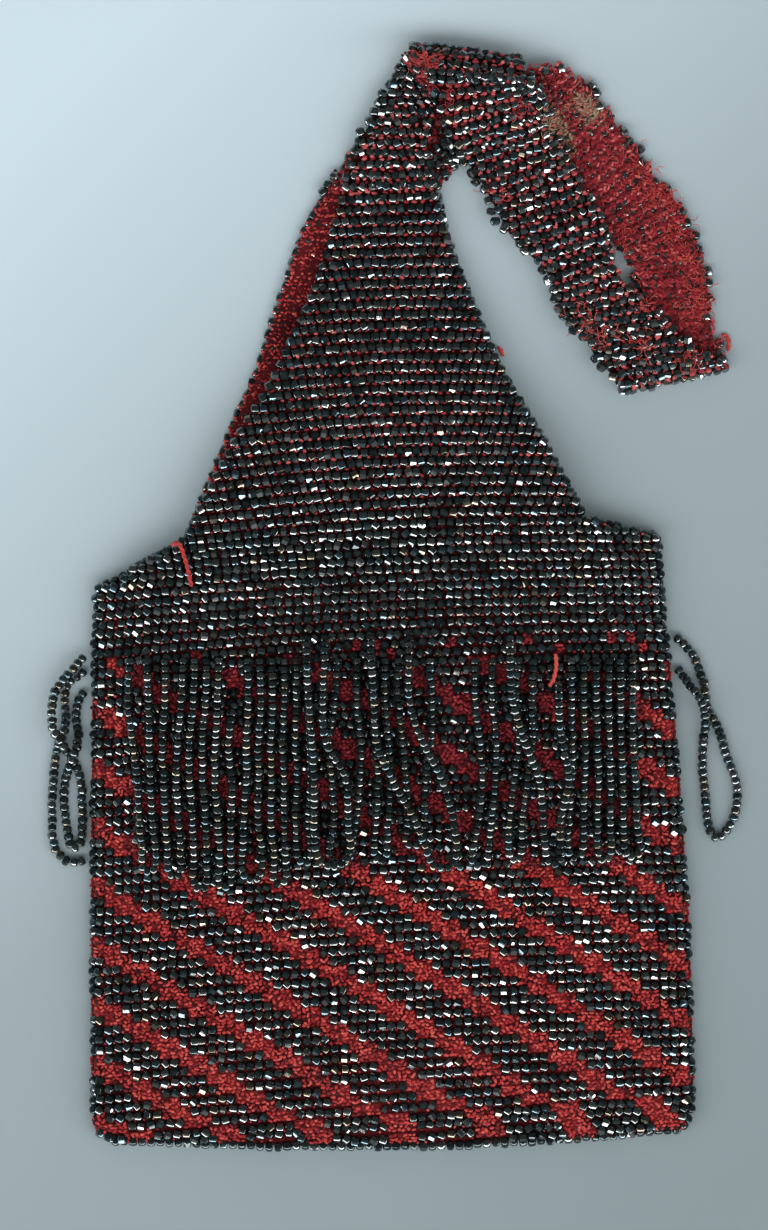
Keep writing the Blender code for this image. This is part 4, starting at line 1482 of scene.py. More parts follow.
@dataclass
class Strap:
    """The wrist strap: one crocheted band, beads on its outer face and bare yarn on its inner one."""

    dresser: Dresser
    wall: float = 2.4
    gap: float = 0.3
    row_pitch: float = 2.5
    bead_pitch: float = 1.95
    bead_width: float = 2.25
    bead_length: float = 1.9
    bead_sunk: float = 1.0
    bead_scatter: Scatter = Scatter(0.045, 0.06, 0.18, 30.0, 13.0, (1.6, 2.4))
    bead_lean: float = -12.0
    rounded_share: float = 0.45
    on_end_share: float = 0.14
    on_end_tip: Pair = (45.0, 80.0)
    margin: float = 0.6
    stagger: float = 0.22
    edge_share: float = 0.9
    shown_edge_share: float = 0.62
    shown_below: float = -0.3
    least_beads: int = 4
    inner_edge_insets: tuple[float, ...] = (0.9, 2.6, 4.3, 6.0)
    speck_share: float = 0.45
    speck_size: Pair = (0.6, 0.85)
    speck_sunk: float = 0.22
    thread_drop: float = 0.36
    thread_layers: tuple[Pair, ...] = ((0.0, 0.62), (0.55, 0.85))
    thread_radius: Pair = (0.36, 0.56)
    ground_step: float = 1.3
    ground_inset: float = 0.9
    ground_drops: Pair = (1.7, 0.35)
    # painted shade: the face under the beads is toned dark as their shade; the bare face is a mid tone
    ground_shade_tones: Pair = (0.0, 0.4)
    ground_columns: int = 9
    front_fold_end: float = 0.76
    back_fold_start: float = 0.08
    top_fold: tuple[Pair, Pair] = ((2.0, 181.4), (29.2, 177.8))
    end_fold: tuple[Pair, Pair] = ((52.4, 106.7), (76.4, 112.5))
    # Stations of the bands: place and layer of the left end, and of the right end.
    front_strip: tuple[Station, ...] = (
        ((-11.9, 151.1, 1), (10.4, 152.2, 1)), ((-10.8, 155.9, 1), (9.4, 156.4, 1)),
        ((-8.5, 161.7, 1), (9.0, 161.5, 1)), ((-6.0, 167.4, 1), (9.2, 167.4, 1)),
        ((-2.5, 173.0, 1), (11.3, 173.4, 1)), ((0.2, 178.0, 1), (16.6, 177.0, 1)),
    )
    bare_band: tuple[Station, ...] = (
        ((5.5, 176.5, 2), (29.5, 177.4, 2)), ((14.0, 170.5, 2), (38.0, 180.4, 0.9)),
        ((22.8, 164.5, 0.9), (42.5, 178.2, 0.15)), ((30.1, 159.2, 0.04), (46.5, 175.3, 0)),
        ((35.4, 154.1, 0), (51.5, 168.4, 0)), ((40.0, 148.6, 0), (56.1, 161.9, 0)),
        ((44.9, 143.5, 0), (61.2, 155.0, 0)), ((49.5, 140.3, 0), (66.7, 148.8, 0)),
        ((52.9, 137.1, 0), (69.9, 141.2, 0)), ((55.7, 132.5, 0), (72.2, 134.3, 0)),
        ((57.3, 128.1, 0), (73.4, 127.9, 0)), ((57.0, 121.4, 0), (73.6, 121.9, 0)),
        ((55.2, 113.9, 0), (75.7, 115.9, 0)),
    )
    beaded_band: tuple[Station, ...] = (
        ((47.4, 111.8, 1), (72.2, 114.3, 1)), ((45.3, 116.6, 1), (65.3, 119.6, 1)),
        ((40.9, 120.3, 1), (60.5, 124.7, 1)), ((38.0, 124.2, 1), (56.1, 128.8, 1)),
        ((36.6, 129.3, 1), (51.5, 134.6, 1)), ((33.6, 134.1, 1), (50.1, 139.6, 1)),
        ((29.9, 137.5, 1), (49.7, 144.0, 1)), ((26.2, 141.5, 1), (46.5, 148.6, 1)),
        ((22.5, 148.4, 1), (42.1, 155.9, 1)), ((19.8, 153.2, 1.15), (40.3, 160.3, 1.15)),
        ((16.3, 158.2, 1.6), (38.0, 166.0, 1.6)), ((12.7, 163.3, 2.5), (36.1, 170.7, 2.5)),
        ((10.6, 169.7, 3), (34.3, 174.8, 3)), ((8.7, 176.3, 3), (32.0, 176.6, 3)),
    )
    back_strip: tuple[Station, ...] = (
        ((0.2, 173.7, 0), (24.2, 174.0, 0)), ((-4.6, 166.8, 0), (20.2, 168.4, 0)),
        ((-9.2, 161.0, 0), (17.5, 163.3, 0)), ((-12.9, 155.9, 0), (15.4, 158.7, 0)),
        ((-16.2, 151.4, 0), (11.8, 153.0, 0)),
    )
    worn_spots: tuple[Triple, ...] = (
        (36.8, 168.6, 2.0), (38.0, 166.0, 2.3), (39.6, 163.0, 2.0), (46.0, 170.3, 2.4), (43.2, 172.6, 1.4),
    )
    worn_reach: float = 1.6
    # painted shade: on the strap's bare face the lowest lumps keep a quarter of their tone
    bare_style: StitchStyle = StitchStyle((1.95, 2.5), 0.3, 6, 0.4, 0.33, lean=38.0, lean_noise=12.0,
                                          groove_shade=0.25)
    tufts: tuple[Tufts, ...] = (
        Tufts(12, 34, 1.0, 0.0, ((4.5, 184.5),)),
        Tufts(12, 34, 0.95, 0.0, ((8.0, 181.0),)),
        Tufts(12, 25, 0.7, 0.0, ((13.0, 172.0),)),
        Tufts(8, 30, 0.9, 0.9, ((37.5, 168.0),)),
        Tufts(12, 30, 0.9, 0.7, ((42.5, 173.0),)),
        Tufts(8, 25, 0.9, 0.9, ((46.0, 171.0),)),
        Tufts(12, 40, 0.8, 0.0, ((33.5, 180.0),)),
        Tufts(8, 16, 1.0, 0.0, ((52.0, 165.0),)),
        Tufts(12, 62, 1.0, 0.0, ((57.0, 156.4), (60.5, 151.8), (64.4, 146.7), (67.2, 140.3), (69.7, 133.9),
                                 (71.3, 127.7), (73.6, 120.8))),
        Tufts(8, 24, 1.0, 0.0, ((53.6, 140.3), (57.0, 134.5), (59.5, 128.0))),
        Tufts(10, 36, 0.95, 0.1, ((42.1, 120.8), (48.5, 118.5))),
        Tufts(10, 34, 1.0, 0.0, ((57.0, 116.2), (68.5, 112.6))),
        Tufts(12, 25, 0.9, 0.0, ((30.0, 170.0),)),
        Tufts(8, 16, 1.0, 0.0, ((24.0, 150.0),)),
    )
    tuft_depth: float = 1.4
    fibre_length: Pair = (0.9, 2.8)
    fibre_radius: float = 0.11
    fibre_rise: float = 0.25
    fibre_bend: float = 0.35
    fibre_stray: float = 0.7
    fibre_sunk: float = 0.15
    fibre_tone: Pair = (0.55, 1.0)
    dull_from: float = 152.0
    dull_over: float = 30.0
    dull_loss: float = 0.24
    patch_gain: float = 0.16
    patch_waves: tuple[Pair, ...] = ((0.5, 0.3), (0.23, -0.31))
    inner_edge_rows: int = 10
    along_reach: float = 0.7

    def fold(self, left: Array, right: Array, low: float, high: float, upward: bool) -> list[Station]:
        """Stations round a fold, from its lower to its upper layer.

        Args:
            left: Left end of the fold's line.
            right: Right end.
            low: Lower layer.
            high: Upper layer.
            upward: True if the fold bulges up the page.

        Returns:
            The stations.
        """
        across = unit(right - left)
        sign = 1.0 if upward else -1.0
        outward = np.array((-across[1], across[0])) * sign
        layers = (high - low) / 2
        stations = []
        for angle in range(0, 181, 45):
            turn = math.radians(angle)
            out = layers * (self.wall + self.gap) * math.sin(turn)
            layer = low + layers * (1 - math.cos(turn))
            stations.append(tuple((*(end + outward * out), layer) for end in (left, right)))
        return stations

    def path(self) -> Route:
        """The strap's two edges from the front top's tip round to the back top's tip."""
        top_left, top_right = (np.array(p) for p in self.top_fold)
        end_left, end_right = (np.array(p) for p in self.end_fold)
        front_end = top_left + (top_right - top_left) * self.front_fold_end
        back_start = top_left + (top_right - top_left) * self.back_fold_start
        front_fold = self.fold(top_left, front_end, 1, 2, True)
        end_fold = self.fold(end_left, end_right, 0, 1, False)
        back_fold = self.fold(back_start, top_right, 0, 3, True)
        bands = (self.front_strip, front_fold, self.bare_band, end_fold, self.beaded_band,
                 back_fold[::-1], self.back_strip)
        stations = []
        for left, right in (station for band in bands for station in band):
            edges = [(x, y, self.wall / 2 + layer * (self.wall + self.gap)) for x, y, layer in (left, right)]
            stations.append(edges[0] + edges[1])
        return Route(smooth_path(stations, 0.8))

    def frame(self, path: Route, distance: float) -> tuple[Array, ...]:
        """The band at a distance along it.

        Args:
            path: The band's edges.
            distance: How far along its left edge.

        Returns:
            Left edge, right edge, direction along, and the beaded face's normal.
        """
        here = path.at(distance)
        low = path.at(max(distance - self.along_reach, 0.0))
        high = path.at(min(distance + self.along_reach, path.length))
        left, right = here[:3], here[3:]
        along = unit((high - low)[:3] + (high - low)[3:])
        normal = unit(np.cross(right - left, along))
        return left, right, along, normal

    def even_stations(self, path: Route) -> list[float]:
        """Distances along the left edge at which rows of beads lie, evenly along the middle."""
        middle = (path.points[:, :3] + path.points[:, 3:]) / 2
        steps = np.linalg.norm(np.diff(middle, axis=0), axis=1)
        run = np.concatenate(([0.0], np.cumsum(steps)))
        wanted = np.arange(self.row_pitch / 2, run[-1], self.row_pitch)
        return list(np.interp(wanted, run, path.run))

    def worn(self, origins: Array) -> Array:
        """How worn the yarn is at places."""
        amount = np.zeros(len(origins))
        for x, y, radius in self.worn_spots:
            distance = np.hypot(origins[:, 0] - x, origins[:, 1] - y)
            amount = np.maximum(amount, ease(self.worn_reach - distance / radius))
        return amount

    def bare_brightness(self, origins: Array) -> Array:
        """How bright the bare yarn is: darker towards the band's far fold, with soft brighter and darker
        patches.
        """
        x, y = origins[:, 0], origins[:, 1]
        far = ease((self.dull_from - y) / self.dull_over)
        one, other = (np.sin(a * x + b * y) for a, b in self.patch_waves)
        return 1.0 - self.dull_loss * far + self.patch_gain * one * other

    def walk(self, path: Route, rng: Chance) -> StrapPlaces:
        """Follow the band from end to end, row by row.

        Args:
            path: The band's edges.
            rng: Source of chance.

        Returns:
            Where its beads, the threads between them, its bare stitches and the edge beads go.
        """
        found = StrapPlaces([], [], [], [])
        half = self.wall / 2
        stations = self.even_stations(path)
        for number, distance in enumerate(stations):
            left, right, along, normal = self.frame(path, distance)
            across = unit(right - left)
            width = float(np.linalg.norm(right - left)) - 2 * self.margin
            count = max(self.least_beads, round(width / self.bead_pitch))
            pitch = width / count
            shown = normal[2] < self.shown_below
            stagger = self.stagger if number % 2 else -self.stagger
            between = across * (pitch / 2) - along * (self.thread_drop * self.row_pitch)
            for index in range(count):
                place = left + across * (self.margin + (index + 0.5 + stagger) * pitch)
                outer = place + normal * half
                found.beads.append((outer, across, normal))
                found.threads.append((outer + between, across, normal))
                if shown:
                    found.bare.append((place - normal * half, across, -normal))
            if number >= len(stations) - self.inner_edge_rows:
                for inset in self.inner_edge_insets:
                    spot = right - across * (inset + rng.normal(0.0, 0.3)) - normal * (half + 0.4)
                    found.edge.append((spot + along * rng.normal(0.0, 0.5), along + across, -normal))
            for sign, end in ((-1.0, left), (1.0, right)):
                if rng.random() < (self.shown_edge_share if shown else self.edge_share):
                    out = across * sign * rng.normal(-0.4, 0.35)
                    height = -normal * rng.uniform(-0.3, 0.9) if shown else normal * rng.uniform(-0.4, 0.4)
                    hole = along + across * rng.normal(0.0, 0.5)
                    found.edge.append((end + out + height, hole, across * sign))
        return found

    def build(self) -> None:
        """Make the band, its rows of beads, its bare stitches and the beads along its edges."""
        path = self.path()
        rng = Seed.STRAP.chance()
        found = self.walk(path, rng)
        heap = Heap()
        self.scatter(heap, Places.gather(found.beads), rng, self.bead_sunk)
        self.scatter(heap, Places.gather(found.edge), rng, 0.0)
        bare = Places.gather(found.bare)
        self.specks(heap, bare, rng)
        seat(heap.build("strap_beads", self.dresser.glass()), ["wrist_strap"])
        yarn = Heap()
        points, faces, tone = self.ribbon(path)
        yarn.add_surface(points, faces, tone, self.worn(points) * 0.5)
        self.threads(yarn, Places.gather(found.threads), rng)
        # the bare yarn is darker towards the far fold and in soft patches
        worn, shade = self.worn(bare.origins), self.bare_brightness(bare.origins)
        lay_stitches(yarn, bare, self.bare_style, rng, worn, shade)
        seen = [origin for origin, _, up in found.beads + found.bare if up[2] > 0.2]
        self.fuzz(yarn, np.array(seen), rng)
        materials = [self.dresser.get(CRIMSON_YARN), self.dresser.get(RED_YARN)]
        seat(yarn.build("strap_yarn", materials), ["wrist_strap"])

    def fuzz(self, heap: Heap, surface: Array, rng: Chance) -> None:
        """Loose fibres that stand out of the strap's yarn in tufts.

        Args:
            heap: Takes them.
            surface: Places on the strap that can be seen from above.
            rng: Source of chance.
        """
        for group in self.tufts:
            for x, y in group.places:
                near = surface[np.argsort(np.hypot(surface[:, 0] - x, surface[:, 1] - y))[:group.roots]]
                top = near[near[:, 2] > near[:, 2].max() - self.tuft_depth]
                for start in top[rng.integers(0, len(top), group.fibres)]:
                    points, faces = tube(self.fibre(start, rng), np.full(5, self.fibre_radius), 3)
                    heap.add_surface(points, faces, group.tone * rng.uniform(*self.fibre_tone), group.wear, 1)

    def fibre(self, start: Array, rng: Chance) -> Array:
        """Points along a loose fibre, a flat arc that sets out from near a place."""
        turn = rng.uniform(0.0, math.tau)
        length = rng.uniform(*self.fibre_length)
        ahead = np.array((math.cos(turn), math.sin(turn), rng.uniform(0.0, self.fibre_rise))) * length
        side = np.array((-ahead[1], ahead[0], 0.0)) * rng.normal(0.0, self.fibre_bend)
        first = start + np.append(rng.normal(0.0, self.fibre_stray, 2), -self.fibre_sunk)
        return np.array([first + ahead * t + side * t * (1 - t) * 4 for t in (0.0, 0.25, 0.5, 0.75, 1.0)])

    def scatter(self, heap: Heap, places: Places, rng: Chance, sunk: float) -> None:
        """Set the strap's beads down.

        Args:
            heap: Takes the beads.
            places: Where they go.
            rng: Source of chance.
            sunk: How deep they sit.
        """
        count = len(places.origins)
        stray = self.bead_scatter
        width = self.bead_width * rng.normal(1.0, stray.width, count)
        length = self.bead_length * rng.normal(1.0, stray.length, count)
        shift = rng.normal(0.0, stray.place, (count, 3)) - unit(places.up) * sunk
        moved = places.shift(shift).turn_in_plane(np.radians(rng.normal(self.bead_lean, stray.turn, count)))
        on_end = rng.random(count) < self.on_end_share
        tip = np.where(on_end, rng.uniform(*self.on_end_tip, count), rng.normal(0.0, stray.tip, count))
        heap.add(BeadForm.ROW.value, moved.tip(np.radians(tip)), sizes(length, width),
                 *cut_turns(rng, count, self.rounded_share), rng.beta(*stray.tone, count),
                 finish=pick_glass(rng, count, STRAP_SHARES))

    def specks(self, heap: Heap, places: Places, rng: Chance) -> None:
        """The backs of beads that peep through the bare face.

        Args:
            heap: Takes them.
            places: The bare stitches.
            rng: Source of chance.
        """
        kept = rng.random(len(places.origins)) < self.speck_share
        chosen = Places(places.origins[kept], places.along[kept], places.up[kept])
        count = len(chosen.origins)
        size = rng.uniform(*self.speck_size, count)
        stray = rng.normal(0.0, 0.2, (count, 3)) * (1.0, 1.0, 0.0)
        heap.add(BeadForm.HIDDEN.value, chosen.shift(stray - unit(chosen.up) * self.speck_sunk),
                 sizes(size, size), rng.uniform(0.0, math.tau, count), rng.uniform(0.5, 1.0, count),
                 rng.uniform(0.5, 1.0, count))

    def threads(self, heap: Heap, places: Places, rng: Chance) -> None:
        """Yarn that shows between the strap's rows of beads.

        Args:
            heap: Takes it.
            places: Where it goes.
            rng: Source of chance.
        """
        count = len(places.origins)
        for drop, half in self.thread_layers:
            depth = (0.7 + drop * 0.6 + rng.uniform(0.0, 0.35, count))[:, None]
            upward = unit(np.cross(places.up, places.along))
            offset = rng.normal(0.0, 0.18, (count, 3)) - places.up * depth - upward * drop
            moved = places.shift(offset).turn_in_plane(np.radians(rng.normal(0.0, 28.0, count)))
            radius = rng.uniform(*self.thread_radius, count)
            size = sizes(half * rng.uniform(0.7, 1.2, count), radius)
            heap.add(YarnForm.KNOT.value, moved, size, rng.uniform(0.0, 1.0, count), 1.0,
                     rng.uniform(0.4, 1.0, count), self.worn(moved.origins) * 0.4)

    def ribbon(self, path: Route) -> tuple[Array, Faces, Array]:
        """The band's ground, a closed ribbon.

        Args:
            path: The band's edges.

        Returns:
            Points, faces and the tone of each point, painted dark as shade under the beads.
        """
        rings = []
        front_drop, back_drop = self.ground_drops
        for distance in np.linspace(0.0, path.length, int(path.length / self.ground_step)):
            left, right, _, normal = self.frame(path, distance)
            inset = unit(right - left) * self.ground_inset
            row = np.linspace(left + inset, right - inset, self.ground_columns)
            front = row + normal * (self.wall / 2 - front_drop)
            back = row - normal * (self.wall / 2 - back_drop)
            rings.append((*front, *back[::-1]))
        count = len(rings[0])
        points = np.array([p for ring in rings for p in ring])
        faces: Faces = []
        for i in range(len(rings) - 1):
            for j in range(count):
                k = (j + 1) % count
                faces.append((i * count + j, i * count + k, (i + 1) * count + k, (i + 1) * count + j))
        faces.append(tuple(range(count - 1, -1, -1)))
        last = (len(rings) - 1) * count
        faces.append(tuple(range(last, last + count)))
        tone = np.tile(np.repeat(self.ground_shade_tones, self.ground_columns), len(rings))
        return points, faces, tone


# Strands

# Each loop of the fringe: its layer, its legs' places at the leg heights, its lowest point, and where its
# right leg ends if not at the top of its layer. The side loops' stations have a place and a layer each.
LEG_HEIGHTS = (43.7, 34.5, 25.3, 16.1, 6.9, 0.0)
LEG_TOPS = {1: 44.2, 2: 49.2}
FRINGE_LOOPS = (
    (1, (-60.3, -60.7, -59.6, -58.4, -58.0, -57.3), (-56.4, -55.9, -55.7, -55.4, -55.0, -54.3), -5.1),
    (1, (-52.0, -52.2, -52.7, -52.4, -52.0, -51.5), (-48.1, -48.3, -49.2, -49.5, -49.0, -48.5), -6.0),
    (1, (-45.3, -45.5, -46.5, -46.5, -45.8, -45.5), (-42.6, -42.8, -43.5, -43.5, -42.8, -42.6), -9.0),
    (1, (-39.8, -40.0, -40.5, -40.7, -40.0, -39.6), (-35.9, -35.9, -37.5, -36.8, -37.0, -37.0), -8.7, 34.0),
    (1, (-33.1, -33.0, -33.4, -33.4, -34.0, -34.3), (-30.4, -30.1, -30.6, -30.6, -30.8, -29.9), -6.9),
    (1, (-27.6, -27.4, -27.8, -27.6, -27.8, -27.1), (-24.8, -24.6, -25.1, -24.8, -24.8, -24.4), -7.8),
    (1, (-21.9, -21.9, -22.1, -21.6, -22.1, -21.6), (-19.0, -19.1, -19.1, -18.6, -19.1, -18.6), -2.8, 36.8),
    (1, (-12.7, -13.1, -14.5, -13.8, -13.3, -14.3), (-8.1, -8.1, -7.1, -7.4, -8.3, -9.7), -3.2),
    (1, (-4.4, -4.4, -3.9, -3.2, -3.7, -4.1), (-1.6, -1.6, -0.9, -0.2, -0.9, -1.4), -2.5),
    (1, (1.4, 1.4, 2.3, 3.2, 3.7, 3.2), (8.7, 9.0, 9.0, 7.6, 7.4, 6.7), 0.9),
    (1, (19.1, 19.1, 20.0, 20.7, 19.8, 18.4), (23.2, 23.0, 23.9, 23.7, 22.8, 21.6), -3.7),
    (1, (29.0, 28.5, 29.2, 28.1, 27.1, 26.9), (32.4, 32.2, 32.2, 31.1, 29.9, 29.7), -2.3),
    (1, (41.2, 41.2, 41.4, 41.2, 40.5, 40.5), (44.0, 44.0, 44.3, 44.2, 43.9, 43.7), -1.6),
    (1, (46.9, 46.8, 47.1, 47.4, 47.1, 47.4), (49.8, 49.7, 49.9, 50.1, 50.1, 50.1), -2.3),
    (1, (52.4, 52.4, 52.6, 53.0, 53.1, 53.4), (55.2, 55.2, 55.2, 55.8, 56.1, 57.0), -1.6),
    (2, (-19.6, -19.1, -18.4, -17.9, -17.9, -17.5), (-15.4, -15.9, -15.2, -10.6, -10.1, -9.7), -3.7),
    (2, (-4.8, -4.1, -3.7, 0.2, 5.3, 8.3), (3.9, 3.9, 6.9, 11.5, 14.0, 14.7), -4.1),
    (2, (27.1, 27.6, 30.4, 33.8, 34.7, 35.6), (39.5, 37.2, 38.9, 40.5, 38.6, 38.6), -3.2, 38.6),
)
SIDE_LOOPS = {
    "side_loop_left_inner": (
        (-70.8, 44.9, 1), (-73.1, 41.9, 1), (-75.9, 38.9, 1), (-77.7, 35.9, 1), (-78.4, 30.8, 1),
        (-77.7, 26.9, 1), (-75.9, 24.2, 1), (-74.5, 22.2, 0.37), (-73.4, 20.6, 0), (-72.4, 18.4, 0),
        (-71.6, 15.6, 0), (-71.4, 10.4, 0), (-71.4, 6.9, 0), (-71.5, 3.4, 0), (-72.2, 0.9, 0),
        (-73.3, 0.2, 0), (-74.2, 1.1, 0), (-74.6, 3.6, 0), (-75.2, 7.4, 0), (-75.5, 12.9, 0),
        (-75.1, 16.6, 0), (-74.4, 18.9, 0.8), (-73.6, 20.9, 1), (-72.8, 23.0, 1), (-72.4, 25.3, 0.33),
        (-72.5, 28.8, 0), (-72.6, 32.7, 0), (-71.7, 35.2, 0), (-70.7, 36.5, 0),
    ),
    "side_loop_left_outer": (
        (-70.5, 41.4, 0), (-72.2, 40.0, 0), (-74.5, 38.2, 0), (-75.4, 35.7, 0), (-75.2, 30.8, 0),
        (-75.7, 26.9, 0), (-77.1, 23.2, 0), (-77.7, 18.9, 0), (-78.2, 12.9, 0), (-78.4, 6.9, 0),
        (-78.2, 2.8, 0), (-76.8, -0.9, 0), (-74.5, -2.8, 0), (-72.2, -2.9, 0), (-70.8, -2.1, 0),
    ),
    "side_loop_right": (
        (65.3, 49.2, 0), (67.4, 47.2, 0), (69.5, 44.6, 0), (70.8, 41.4, 0), (72.0, 37.7, 0),
        (72.2, 34.5, 0), (73.4, 31.3, 0), (75.2, 27.8, 0), (76.4, 23.9, 0), (77.7, 20.0, 0),
        (79.1, 16.3, 0), (79.6, 12.6, 0), (79.1, 8.7, 0), (77.7, 5.5, 0), (76.4, 3.5, 0), (74.8, 2.8, 0),
        (73.4, 4.1, 0), (72.7, 6.9, 0), (72.2, 11.5, 0), (71.8, 16.1, 0), (71.5, 21.4, 0),
        (71.8, 25.8, 0.13), (72.2, 29.4, 0.83), (71.8, 32.9, 1), (70.6, 35.4, 1), (68.5, 37.9, 0.56),
        (67.0, 39.9, 0.13), (65.6, 41.9, 0),
    ),
}


@dataclass
class Strands:
    """Strung beads: the fringe on the front and the longer loops at the sides."""

    form: PouchForm
    dresser: Dresser
    bead_width: float = 2.25
    bead_pitch: float = 1.68
    bead_scatter: Scatter = Scatter(0.045, 0.05, 0.07, 7.0, 6.0, (1.7, 2.2))
    thickness: float = 2.2
    gap: float = 0.3
    table_gap: float = 0.05
    cross_gap: float = 0.4
    upper_rise: float = 4.5
    leg_step: float = 9.0
    fringe_dip: float = 1.4
    dip_over: float = 5.0

    def height(self, x: float, y: float, layer: float) -> float:
        """Height of a strand's middle in a layer of the fringe."""
        base = float(self.form.front_height(x, y))
        return base + self.gap + self.thickness / 2 + (layer - 1) * (self.thickness + self.gap)

    def fringe_route(self, layer: int, left_xs: tuple[float, ...], right_xs: tuple[float, ...], lowest: float,
                     right_top: float | None = None) -> Route:
        """Follow a loop down its left leg, round its foot and up its right leg.

        Args:
            layer: Layer that it lies in.
            left_xs: Places of the left leg at the leg heights.
            right_xs: Places of the right leg.
            lowest: Its lowest point.
            right_top: Where its right leg ends, if not at the height of its layer.

        Returns:
            The loop's route.
        """
        foot_left, foot_right = left_xs[-1], right_xs[-1]
        middle, radius = (foot_left + foot_right) / 2, (foot_right - foot_left) / 2
        foot_y = lowest + radius
        heights = [-h for h in LEG_HEIGHTS]

        def leg(top: float, xs: tuple[float, ...]) -> list[Triple]:
            """Stations down one leg."""
            start = float(np.interp(-top, heights, xs))
            points = [(start, top, 1.0)]
            if layer > 1:
                points.append((start, top - self.upper_rise, layer))
            for x, y in zip(xs, LEG_HEIGHTS):
                if foot_y + self.thickness < y < points[-1][1] - self.leg_step / 3:
                    points.append((x, y, layer))
            return points

        foot = []
        for angle in (0, 60, 120, 180):
            turn = math.radians(angle)
            foot.append((middle - radius * math.cos(turn), foot_y - radius * math.sin(turn), layer))
        top = LEG_TOPS[layer]
        plan = leg(top, left_xs) + foot + leg(right_top or top, right_xs)[::-1]
        return Route(smooth_path([(x, y, self.height(x, y, rank)) for x, y, rank in plan], 1.0))

    def string(self, heap: Heap, route: Route, rng: Chance, dip: float) -> None:
        """String beads along a route.

        Args:
            heap: Takes the beads.
            route: Where the thread runs.
            rng: Source of chance.
            dip: How far the thread's ends sink towards what they are sewn to.
        """
        count = int(route.length / self.bead_pitch)
        scatter = self.bead_scatter
        steps = rng.normal(1.0, scatter.length, count)
        distance = (np.cumsum(steps) - steps / 2) / steps.sum() * route.length
        origins = route.at(distance)
        along = route.direction(distance)
        near_end = np.minimum(distance, route.length - distance)
        origins[:, 2] -= dip * ease(1.0 - near_end / self.dip_over)
        up = np.tile((0.0, 0.0, 1.0), (count, 1))
        places = Places(origins, along, up).shift(rng.normal(0.0, scatter.place, (count, 3)))
        places = places.turn_in_plane(np.radians(rng.normal(0.0, scatter.turn, count)))
        places = places.tip(np.radians(rng.normal(0.0, scatter.tip, count)))
        width = self.bead_width * rng.normal(1.0, scatter.width, count)
        length = self.bead_pitch * steps
        heap.add(BeadForm.STRUNG.value, places, sizes(length, width),
                 rng.uniform(0.0, math.tau, count), rng.uniform(0.45, 1.0, count),
                 rng.beta(*scatter.tone, count), finish=pick_glass(rng, count, STRUNG_SHARES))

    def build(self) -> None:
        """Make each loop as its own piece."""
        for number, loop in enumerate(FRINGE_LOOPS, 1):
            node = f"fringe_loop_{number:02d}"
            heap = Heap()
            self.string(heap, self.fringe_route(*loop), Seed.FRINGE.chance(number), self.fringe_dip)
            seat(heap.build(f"{node}_beads", self.dresser.glass()), [node])
        for number, (node, plan) in enumerate(SIDE_LOOPS.items()):
            lowest, step = self.thickness / 2 + self.table_gap, self.thickness + self.cross_gap
            points = [(x, y, lowest + layer * step) for x, y, layer in plan]
            heap = Heap()
            self.string(heap, Route(smooth_path(points, 1.0)), Seed.SIDE_LOOPS.chance(number), 0.0)
            seat(heap.build(f"{node}_beads", self.dresser.glass()), [node])


# Loose yarn

@dataclass
class Tails:
    """Loose yarn ends, each two plies twisted together."""

    form: PouchForm
    dresser: Dresser
    ply_radius: float = 0.3
    ply_out: float = 0.8
    twist_pitch: float = 2.6
    step: float = 0.3
    rest: float = 0.8
    on_front: dict[str, tuple[Pair, ...]] = field(default_factory=lambda: {
        "yarn_tail_shoulder": ((-50.8, 69.9), (-49.2, 70.6), (-47.4, 66.5), (-46.0, 60.5)),
        "yarn_tail_fringe": ((37.5, 45.3), (37.7, 42.3), (37.0, 39.1), (36.0, 37.6)),
    })
    on_table: dict[str, tuple[Pair, ...]] = field(default_factory=lambda: {
        "yarn_tail_strap": ((75.8, 118.7), (77.2, 118.2), (77.6, 116.6), (77.5, 114.8)),
        "yarn_tail_top": ((24.3, 115.9), (25.2, 114.9), (25.6, 113.6)),
    })

    def twist(self, heap: Heap, points: list[Triple], rng: Chance) -> None:
        """Twist two plies round a route.

        Args:
            heap: Takes the plies.
            points: The route.
            rng: Source of chance.
        """
        route = Route(smooth_path(points, self.step))
        distance = np.linspace(0.0, route.length, max(8, int(route.length / self.step)))
        middle, ahead = route.at(distance), route.direction(distance)
        side = unit(np.cross(ahead, (0.0, 0.0, 1.0)))
        over = np.cross(side, ahead)
        for ply in (0.0, math.pi):
            turn = (distance / self.twist_pitch * math.tau + ply)[:, None]
            path = middle + self.ply_radius * self.ply_out * (side * np.cos(turn) + over * np.sin(turn))
            radius = np.full(len(path), self.ply_radius) * rng.normal(1.0, 0.06, len(path))
            heap.add_surface(*tube(path, radius, 6), rng.uniform(0.5, 0.9))

    def build(self) -> None:
        """Make each tail."""
        rng = Seed.TAILS.chance()
        for node, plan in (self.on_front | self.on_table).items():
            if node in self.on_front:
                points = [(x, y, float(self.form.front_height(x, y)) + self.rest) for x, y in plan]
            else:
                points = [(x, y, self.ply_radius * 2) for x, y in plan]
            heap = Heap()
            self.twist(heap, points, rng)
            seat(heap.build(f"{node}_plies", [self.dresser.get(RED_YARN)]), [node])


# Studio

